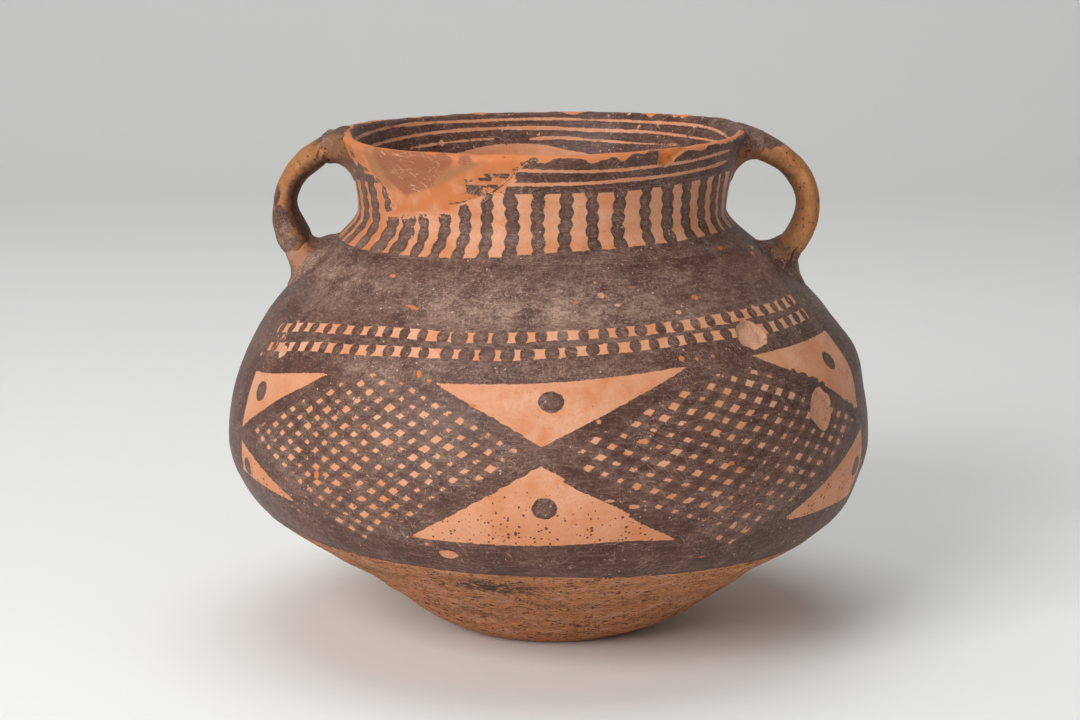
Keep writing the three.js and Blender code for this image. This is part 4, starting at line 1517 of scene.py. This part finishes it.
    # scraped coarse clay, with grains dragged level by the tool
    grit = add("TexNoise", {"Vector": trail, "Scale": 1 / 1.7, "Detail": 4, "Roughness": 0.7})
    grit = add("MapRange", {0: grit, 1: 0.46, 2: 0.66}, **smooth)
    coarse = {"Factor": grit, "A": tints["coarseClay"], "B": tints["coarseDark"]}
    coarse = add("Mix", coarse, data_type="RGBA")
    wisps = add("TexNoise", {"Vector": trail, "Scale": 1 / 3.4, "Detail": 4, "Roughness": 0.6})
    wisps = add("MapRange", {0: wisps, 1: 0.5, 2: 0.66, 4: 0.65}, **smooth)
    coarse = add("Mix", {"Factor": wisps, "A": coarse, "B": tints["clayPale"]}, data_type="RGBA")
    ruddy = add("TexNoise", {"Vector": place, "Scale": 1 / 14, "Detail": 4})
    ruddy = add("MapRange", {0: ruddy, 1: 0.5, 2: 0.8, 4: 0.6}, **smooth)
    coarse = add("Mix", {"Factor": ruddy, "A": coarse, "B": tints["clayWarm"]}, data_type="RGBA")
    scraped = add("Math", {0: marks["coarse"], 1: 0.92}, operation="MULTIPLY")
    clay = add("Mix", {"Factor": scraped, "A": clay, "B": coarse}, data_type="RGBA")
    drags = add("TexVoronoi", {"Vector": trail, "Scale": 1 / 1.15})
    dragLuck = add("SeparateColor", {0: drags.outputs["Color"]})
    dragSize = add("MapRange", {0: dragLuck, 1: 0.5, 2: 1, 4: 0.5}, **smooth)
    dragPlace = add("TexNoise", {"Vector": place, "Scale": 1 / 12, "Detail": 2})
    dragPlace = add("MapRange", {0: dragPlace, 1: 0.3, 2: 0.6}, **smooth)
    dragSize = add("Math", {0: dragSize, 1: dragPlace}, operation="MULTIPLY")
    dragReach = add("Math", {0: fray, 1: 1.3, 2: drags.outputs["Distance"]}, operation="MULTIPLY_ADD")
    dragReach = add("Math", {0: dragReach, 1: dragSize}, operation="SUBTRACT")
    dragged = add("MapRange", {0: dragReach, 1: 0.03, 2: -0.12}, **smooth)
    chatter = add("TexNoise", {"Vector": trail, "Scale": 1 / 0.75, "Detail": 3, "Roughness": 0.6})
    chatter = add("MapRange", {0: chatter, 1: 0.56, 2: 0.66, 4: 0.85}, **smooth)
    dragged = add("Math", {0: dragged, 1: chatter}, operation="MAXIMUM")
    dragged = add("Math", {0: dragged, 1: marks["coarse"]}, operation="MULTIPLY")
    dragged = add("Math", {0: dragged, 1: 0.9}, operation="MULTIPLY")
    # the drag marks are drawn in the pit colour: dirt in the grooves and painted shade
    clay = add("Mix", {"Factor": dragged, "A": clay, "B": tints["pitDirtAndShade"]}, data_type="RGBA")

    # soot and brown stains, and painted shade on the handles' inner sides and on the neck beside the right
    # handle
    wiped = add("VectorMath", {0: place, 1: (0.65, 0.65, 1)}, operation="MULTIPLY")
    sooty = add("TexNoise", {"Vector": wiped, "Scale": 1 / 1.8, "Detail": 6, "Roughness": 0.75})
    sooty = add("MapRange", {0: sooty, 1: 0.38, 2: 0.58, 3: look["sootEven"]}, **smooth)
    sooty = add("Math", {0: sooty, 1: marks["soot"]}, operation="MULTIPLY")
    clay = add("Mix", {"Factor": sooty, "A": clay, "B": tints["soot"]}, data_type="RGBA")

    # the restorer's colours on the neck, and the scratches in the plaster
    toned = add("TexNoise", {"Vector": place, "Scale": 1 / 6, "Detail": 4})
    toned = add("MapRange", {0: toned, 1: 0.4, 2: 0.75, 4: 0.4}, **smooth)
    toned = add("Mix", {"Factor": toned, "A": tints["tonedClay"], "B": tints["clayPale"]}, data_type="RGBA")
    restored = add("Math", {0: marks["toned"], 1: 0.9}, operation="MULTIPLY")
    clay = add("Mix", {"Factor": restored, "A": clay, "B": toned}, data_type="RGBA")
    hair = 0
    for way, size in (((0, 0.35, -0.87), 5), ((0, 0.72, -0.87), 7), ((0, -0.12, -0.87), 6)):
        slant = {"Vector": place, "Rotation": way, "Scale": (80, 2.4, 1.9)}
        slanted = add("Mapping", slant, vector_type="TEXTURE")
        line = add("TexNoise", {"Vector": slanted, "Scale": 1, "Detail": 0})
        line = add("Math", {0: line, 1: 0.5}, operation="SUBTRACT")
        line = add("Math", {0: line}, operation="ABSOLUTE")
        line = add("MapRange", {0: line, 1: 0.024, 2: 0}, **smooth)
        hairPlace = add("TexNoise", {"Vector": place, "Scale": 1 / size, "Detail": 2})
        hairPlace = add("MapRange", {0: hairPlace, 1: 0.46, 2: 0.56}, **smooth)
        line = add("Math", {0: line, 1: hairPlace}, operation="MULTIPLY")
        hair = add("Math", {0: line, 1: hair}, operation="MAXIMUM")
    plaster = add("TexNoise", {"Vector": slanted, "Scale": 1 / 2, "Detail": 4})
    plaster = add("MapRange", {0: plaster, 1: 0.4, 2: 0.75, 4: 0.5}, **smooth)
    plaster = {"Factor": plaster, "A": tints["plasterPink"], "B": tints["plasterTan"]}
    plaster = add("Mix", plaster, data_type="RGBA")
    paleHair = add("Math", {0: hair, 1: 0.7}, operation="MULTIPLY")
    plaster = add("Mix", {"Factor": paleHair, "A": plaster, "B": tints["clayPale"]}, data_type="RGBA")
    clay = add("Mix", {"Factor": marks["plaster"], "A": clay, "B": plaster}, data_type="RGBA")
    tan = add("Math", {0: marks["tan"], 1: 0.7}, operation="MULTIPLY")
    clay = add("Mix", {"Factor": tan, "A": clay, "B": tints["plasterTan"]}, data_type="RGBA")

    # dark pits, drawn about half as large again as they are; their dark colour is dirt in them and painted
    # shade of the hollows
    pitCells = add("TexVoronoi", {"Vector": place, "Scale": 1 / 1.45})
    pitLuck = add("SeparateColor", {0: pitCells.outputs["Color"]})
    pitSize = add("MapRange", {0: pitLuck, 1: 0.1, 2: 1, 4: 0.5}, **smooth)
    pitSize = add("Math", {0: pitSize, 1: marks["pitted"]}, operation="MULTIPLY")
    pitPlace = add("TexNoise", {"Vector": place, "Scale": 1 / 9, "Detail": 3})
    pitPlace = add("MapRange", {0: pitPlace, 1: 0.3, 2: 0.6, 3: 0.3}, **smooth)
    pitSize = add("Math", {0: pitSize, 1: pitPlace}, operation="MULTIPLY")
    pitReach = add("Math", {0: fray, 1: 0.9, 2: pitCells.outputs["Distance"]}, operation="MULTIPLY_ADD")
    pitReach = add("Math", {0: pitReach, 1: pitSize}, operation="SUBTRACT")
    pits = add("MapRange", {0: pitReach, 1: 0.0, 2: -0.08}, **smooth)
    pitShade = add("Math", {0: pits, 1: 0.85}, operation="MULTIPLY")
    clay = add("Mix", {"Factor": pitShade, "A": clay, "B": tints["pitDirtAndShade"]}, data_type="RGBA")

    # dust on the clay where the film mark is thick; that mark is partly painted light
    dusty = add("MapRange", {0: marks["film"], 1: 0.7, 2: 1.8, 4: 0.75}, **smooth)
    dustPlace = add("MapRange", {0: cloud, 1: 0.36, 2: 0.62, 3: 0.2}, **smooth)
    dusty = add("Math", {0: dusty, 1: dustPlace}, operation="MULTIPLY")
    clay = add("Mix", {"Factor": dusty, "A": clay, "B": tints["film"]}, data_type="RGBA")

    # paint, its brush streaks, and the dusty film on it, which on the shoulder is partly painted light
    rusty = add("TexNoise", {"Vector": place, "Scale": 1 / 15, "Detail": 4, "Roughness": 0.6})
    rusty = add("MapRange", {0: rusty, 1: 0.35, 2: 0.7}, **smooth)
    paint = {"Factor": rusty, "A": tints["paintDark"], "B": tints["paintWarm"]}
    paint = add("Mix", paint, data_type="RGBA")
    thin = add("MapRange", {0: streak, 1: 0.4, 2: 0.75, 4: 0.5}, **smooth)
    paint = add("Mix", {"Factor": thin, "A": paint, "B": tints["paintWarm"]}, data_type="RGBA")
    bristles = add("TexNoise", {"Vector": level, "Scale": 1 / 0.75, "Detail": 3, "Roughness": 0.6})
    bristles = add("MapRange", {0: bristles, 1: 0.5, 2: 0.72, 4: 0.3}, **smooth)
    paint = add("Mix", {"Factor": bristles, "A": paint, "B": tints["film"]}, data_type="RGBA")
    wider = add("Math", {0: marks["gapsA"], 1: marks["gapsB"]}, operation="MAXIMUM")
    onceOver = add("MapRange", {0: wider, 1: -0.7, 2: 0.2, 4: 0.14}, **smooth)
    paint = add("Mix", {"Factor": onceOver, "A": paint, "B": tints["film"]}, data_type="RGBA")
    dust = add("MapRange", {0: cloud, 1: 0.3, 2: 0.8}, **smooth)
    dust = add("Math", {0: dust, 1: marks["film"]}, operation="MULTIPLY")
    dustGrain = add("MapRange", {0: fine, 1: 0.3, 2: 0.65, 3: 0.25, 4: 1.25}, **smooth)
    dust = add("Math", {0: dust, 1: dustGrain}, operation="MULTIPLY")
    paint = add("Mix", {"Factor": dust, "A": paint, "B": tints["film"]}, data_type="RGBA")
    salt = add("TexNoise", {"Vector": place, "Scale": 1 / 1.1, "Detail": 4, "Roughness": 0.78})
    salt = add("MapRange", {0: salt, 1: 0.5, 2: 0.64, 4: 0.9}, **smooth)
    saltShare = add("Math", {0: marks["film"], 1: 0.7, 2: 0.25}, operation="MULTIPLY_ADD")
    salt = add("Math", {0: salt, 1: saltShare}, operation="MULTIPLY")
    paint = add("Mix", {"Factor": salt, "A": paint, "B": tints["film"]}, data_type="RGBA")
    brushed = add("TexNoise", {"Vector": trail, "Scale": 1 / 1.5, "Detail": 4, "Roughness": 0.7})
    brushed = add("MapRange", {0: brushed, 1: 0.58, 2: 0.36, 4: 0.5}, **smooth)
    paint = add("Mix", {"Factor": brushed, "A": paint, "B": tints["paintDark"]}, data_type="RGBA")

    # each dab of the brush is paler in its middle and has a pale ring round it
    ringOutside = add("MapRange", {0: marks["brush"], 1: -1.3, 2: -0.3}, **smooth)
    ringInside = add("MapRange", {0: marks["brush"], 1: 0.15, 2: -0.1, 4: 0.16}, **smooth)
    ring = add("Math", {0: ringOutside, 1: ringInside}, operation="MULTIPLY")
    middle = add("MapRange", {0: marks["brush"], 1: 0.7, 2: 2.4, 4: 0.14}, **smooth)
    middle = add("Math", {0: middle, 1: dustGrain}, operation="MULTIPLY")
    dab = add("Math", {0: ring, 1: middle}, operation="MAXIMUM")
    paint = add("Mix", {"Factor": dab, "A": paint, "B": tints["film"]}, data_type="RGBA")

    # pale grains and scratches
    grains = add("TexVoronoi", {"Vector": place, "Scale": 1 / 1.9})
    grainLuck = add("SeparateColor", {0: grains.outputs["Color"]})
    grainSize = add("MapRange", {0: grainLuck, 1: 0.84, 2: 1, 4: 0.26}, **smooth)
    grainReach = add("Math", {0: fray, 1: 0.5, 2: grains.outputs["Distance"]}, operation="MULTIPLY_ADD")
    grainReach = add("Math", {0: grainReach, 1: grainSize}, operation="SUBTRACT")
    grain = add("MapRange", {0: grainReach, 1: 0.0, 2: -0.08, 4: 0.6}, **smooth)
    paint = add("Mix", {"Factor": grain, "A": paint, "B": tints["mineral"]}, data_type="RGBA")
    scratchWays = (((0, 0.9, 0.4), 10), ((0, -0.6, -0.5), 11), ((0, 0.2, 0.1), 12))
    for way, size in scratchWays:
        scratch = {"Vector": place, "Rotation": way, "Scale": (16, 1.6, 1.6)}
        scratch = add("Mapping", scratch, vector_type="TEXTURE")
        scratch = add("TexNoise", {"Vector": scratch, "Scale": 1, "Detail": 2})
        scratch = add("Math", {0: scratch, 1: 0.5}, operation="SUBTRACT")
        scratch = add("Math", {0: scratch}, operation="ABSOLUTE")
        scratch = add("MapRange", {0: scratch, 1: 0.025, 2: 0, 4: 0.6}, **smooth)
        scratchPlace = add("TexNoise", {"Vector": place, "Scale": 1 / size, "Detail": 3})
        scratchPlace = add("MapRange", {0: scratchPlace, 1: 0.52, 2: 0.62}, **smooth)
        scratch = add("Math", {0: scratch, 1: scratchPlace}, operation="MULTIPLY")
        paint = add("Mix", {"Factor": scratch, "A": paint, "B": tints["film"]}, data_type="RGBA")

    # all together, with the broken places and cracks
    colour = add("Mix", {"Factor": painted, "A": clay, "B": paint}, data_type="RGBA")
    broken = {"Factor": marks["fresh"], "A": tints["spallClay"], "B": tints["freshClay"]}
    broken = add("Mix", broken, data_type="RGBA")
    crumbs = add("TexNoise", {"Vector": place, "Scale": 1 / 1.6, "Detail": 4, "Roughness": 0.7})
    crumbsShade = add("MapRange", {0: crumbs, 1: 0.48, 2: 0.7, 4: 0.5}, **smooth)
    broken = add("Mix", {"Factor": crumbsShade, "A": broken, "B": tints["coarseDark"]}, data_type="RGBA")
    colour = add("Mix", {"Factor": raw, "A": colour, "B": broken}, data_type="RGBA")
    unpainted = add("Math", {0: 1, 1: painted}, operation="SUBTRACT")
    worn = add("Math", {0: marks["fresh"], 1: unpainted}, operation="MULTIPLY")
    worn = add("Math", {0: worn, 1: 0.8}, operation="MULTIPLY")
    colour = add("Mix", {"Factor": worn, "A": colour, "B": tints["freshClay"]}, data_type="RGBA")
    crack = add("MapRange", {0: marks["crack"], 1: -0.25, 2: 0.1, 4: 0.85}, **smooth)
    colour = add("Mix", {"Factor": crack, "A": colour, "B": tints["pitDirtAndShade"]}, data_type="RGBA")

    # sheen
    shinier = look["paintRoughness"] - look["clayRoughness"]
    roughness = add("Math", {0: painted, 1: shinier, 2: look["clayRoughness"]}, operation="MULTIPLY_ADD")
    roughness = add("Math", {0: dust, 1: 0.25, 2: roughness}, operation="MULTIPLY_ADD")
    roughness = add("Math", {0: marks["coarse"], 1: 0.3, 2: roughness}, operation="MULTIPLY_ADD")
    uneven = add("Math", {0: fine, 1: 0.5}, operation="SUBTRACT")
    roughness = add("Math", {0: uneven, 1: 0.25, 2: roughness}, operation="MULTIPLY_ADD")
    rawRough = add("Math", {0: raw, 1: look["rawRoughness"]}, operation="MULTIPLY")
    roughness = add("Math", {0: roughness, 1: rawRough}, operation="MAXIMUM")

    # fine relief, in millimetres
    height = add("Math", {0: painted, 1: look["paintStand"]}, operation="MULTIPLY")
    height = add("Math", {0: fine, 1: 0.05, 2: height}, operation="MULTIPLY_ADD")
    height = add("Math", {0: streak, 1: 0.06, 2: height}, operation="MULTIPLY_ADD")
    coarseBumps = add("Math", {0: crumbs, 1: marks["coarse"]}, operation="MULTIPLY")
    height = add("Math", {0: coarseBumps, 1: 0.4, 2: height}, operation="MULTIPLY_ADD")
    rawBumps = add("Math", {0: crumbs, 1: raw}, operation="MULTIPLY")
    height = add("Math", {0: rawBumps, 1: 0.5, 2: height}, operation="MULTIPLY_ADD")
    height = add("Math", {0: pits, 1: -0.15, 2: height}, operation="MULTIPLY_ADD")
    hairDepth = add("Math", {0: hair, 1: marks["plaster"]}, operation="MULTIPLY")
    height = add("Math", {0: hairDepth, 1: -0.08, 2: height}, operation="MULTIPLY_ADD")
    bump = add("Bump", {"Height": height, "Distance": mm})
    shader = add("BsdfPrincipled", {"Base Color": colour, "Roughness": roughness, "Normal": bump,
                                    "Specular IOR Level": 0.2})
    add("OutputMaterial", {"Surface": shader})
    return material


# Assembly

def wear(piece, material, node):
    piece.data.materials.clear()
    piece.data.materials.append(material)
    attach(piece, "root")
    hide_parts(node)


paintedClay = makeClay("burnishedPaintedEarthenware", clayLook)
bareClay = makeClay("scrapedEarthenware", clayLook)
# Earthenware of the straps, smoothed with wet fingers and browned by hands and smoke: a dull yellow tone.
# Its soot colour also stands for painted shade on their inner sides
strapLook = dict(clayLook, clayMain="#b87b4f", clayPale="#cf9965", clayWarm="#ad6a39",
                 coarseClay="#8f5b38", soot="#5a4232", sootEven=0.55, dragWay=(0.9, 0.9, 0.75))
# Soft clay that was smeared round the joints, darker and dustier
lutingLook = dict(clayLook, clayMain="#845a40", clayPale="#a98468", clayWarm="#965c36",
                  coarseClay="#6f4a35", sootEven=0.4, dragWay=(1, 1, 0.4))
handleClay = makeClay("smoothedStrapEarthenware", strapLook)
lutingClay = makeClay("smearedLutingEarthenware", lutingLook)
# Repair plaster, toned to match the clay: its marks give it the duller tints and the scratches
fillPlaster = makeClay("tonedRepairPlaster", clayLook)
print("materials made")

wear(makeBaseFoot(), bareClay, "base_disc")
print("base made")
wear(makeLowerWall(), paintedClay, "lower_body")
wear(makeUpperWall(), paintedClay, "upper_body")
print("walls made")
neckWall, neckFilling = makeNeck()
wear(neckWall, paintedClay, "neck")
wear(neckFilling, fillPlaster, "neck_fill")
print("neck and its fill made")

rightStrap = makeStrap()
finishSubdivided(rightStrap, 2)
leftStrap = copyToLeft(rightStrap, "leftStrap")
for side, strap in (("right", rightStrap), ("left", leftStrap)):
    dressHandlePart(strap, side)
    wear(strap, handleClay, side + "_handle")
print("handles made")

for name, smear in smears.items():
    luting = makeCollar(name, smear)
    finishSubdivided(luting, 1)
    lumpCollar(luting, smear)
    dressHandlePart(luting, smear["side"], isCollar=True)
    wear(luting, lutingClay, smear["node"])
print("collars made")


# Floor, light and camera

studio = {
    "floorColour": "#f3f3f1",
    "floorSize": 7,
    "backDistance": 2.2,
    "backHeight": 3.4,
    "bend": 0.8,
    "bendSteps": 24,
    "paperRoughness": 0.9,
    "worldColour": "#f2f1ef",
    "worldStrength": 0.25,
}


def makeFloor():
    clearSelection()
    size = studio["floorSize"]
    bpy.ops.mesh.primitive_plane_add(size=size, location=(0, studio["backDistance"] - size / 2, 0))
    floor = bpy.context.object
    floor.name = "paleSweep"
    placeInMesh(floor)
    bpy.ops.object.mode_set(mode="EDIT")
    bpy.ops.mesh.select_all(action="DESELECT")
    bpy.ops.object.mode_set(mode="OBJECT")
    for edge in floor.data.edges:
        ends = [floor.data.vertices[i].co.y for i in edge.vertices]
        edge.select = min(ends) > studio["backDistance"] - 0.01
    bpy.ops.object.mode_set(mode="EDIT")
    bpy.ops.mesh.select_mode(type="EDGE")
    bpy.ops.mesh.extrude_edges_move(TRANSFORM_OT_translate={"value": (0, 0, studio["backHeight"])})
    bpy.ops.object.mode_set(mode="OBJECT")
    bend = floor.modifiers.new("bend", "BEVEL")
    bend.width = studio["bend"]
    bend.segments = studio["bendSteps"]
    bend.limit_method = "ANGLE"
    pick(floor)
    bpy.ops.object.modifier_apply(modifier=bend.name)
    smoothShade(floor, 60)
    paper = bpy.data.materials.new("paleStudioPaper")
    paper.use_nodes = True
    shader = paper.node_tree.nodes["Principled BSDF"]
    shader.inputs["Base Color"].default_value = fromHex(studio["floorColour"])
    shader.inputs["Roughness"].default_value = studio["paperRoughness"]
    floor.data.materials.append(paper)


softboxes = {
    "keyLight": {"place": (-1.05, -1.5, 1.05), "size": 1.1, "power": 35},
    "fillLight": {"place": (1.4, -1.2, 0.7), "size": 1.3, "power": 1.3},
    "topLight": {"place": (-0.1, 0.2, 1.8), "size": 1.4, "power": 12.5},
}


def makeLights():
    for name, box in softboxes.items():
        clearSelection()
        bpy.ops.object.light_add(type="AREA", location=box["place"])
        lamp = bpy.context.object
        lamp.name = name
        lamp.data.shape = "SQUARE"
        lamp.data.size = box["size"]
        lamp.data.energy = box["power"]
        aim = Vector((0, 0, 0.1)) - Vector(box["place"])
        lamp.rotation_euler = aim.to_track_quat("-Z", "Y").to_euler()
    world = bpy.context.scene.world or bpy.data.worlds.new("studioWorld")
    bpy.context.scene.world = world
    world.use_nodes = True
    background = world.node_tree.nodes["Background"]
    background.inputs["Color"].default_value = fromHex(studio["worldColour"])
    background.inputs["Strength"].default_value = studio["worldStrength"]


view = {"place": (-4, -1136, 334), "downTilt": 11.07, "lens": 90.9, "sensor": 36}


def makeCamera():
    clearSelection()
    place = [v * mm for v in view["place"]]
    bpy.ops.object.camera_add(location=place, rotation=(math.radians(90 - view["downTilt"]), 0, 0))
    camera = bpy.context.object
    camera.name = "photoCamera"
    camera.data.lens = view["lens"]
    camera.data.sensor_width = view["sensor"]
    bpy.context.scene.camera = camera
    bpy.context.scene.view_settings.view_transform = "Standard"


makeFloor()
makeLights()
makeCamera()
print("floor, lights and camera made")
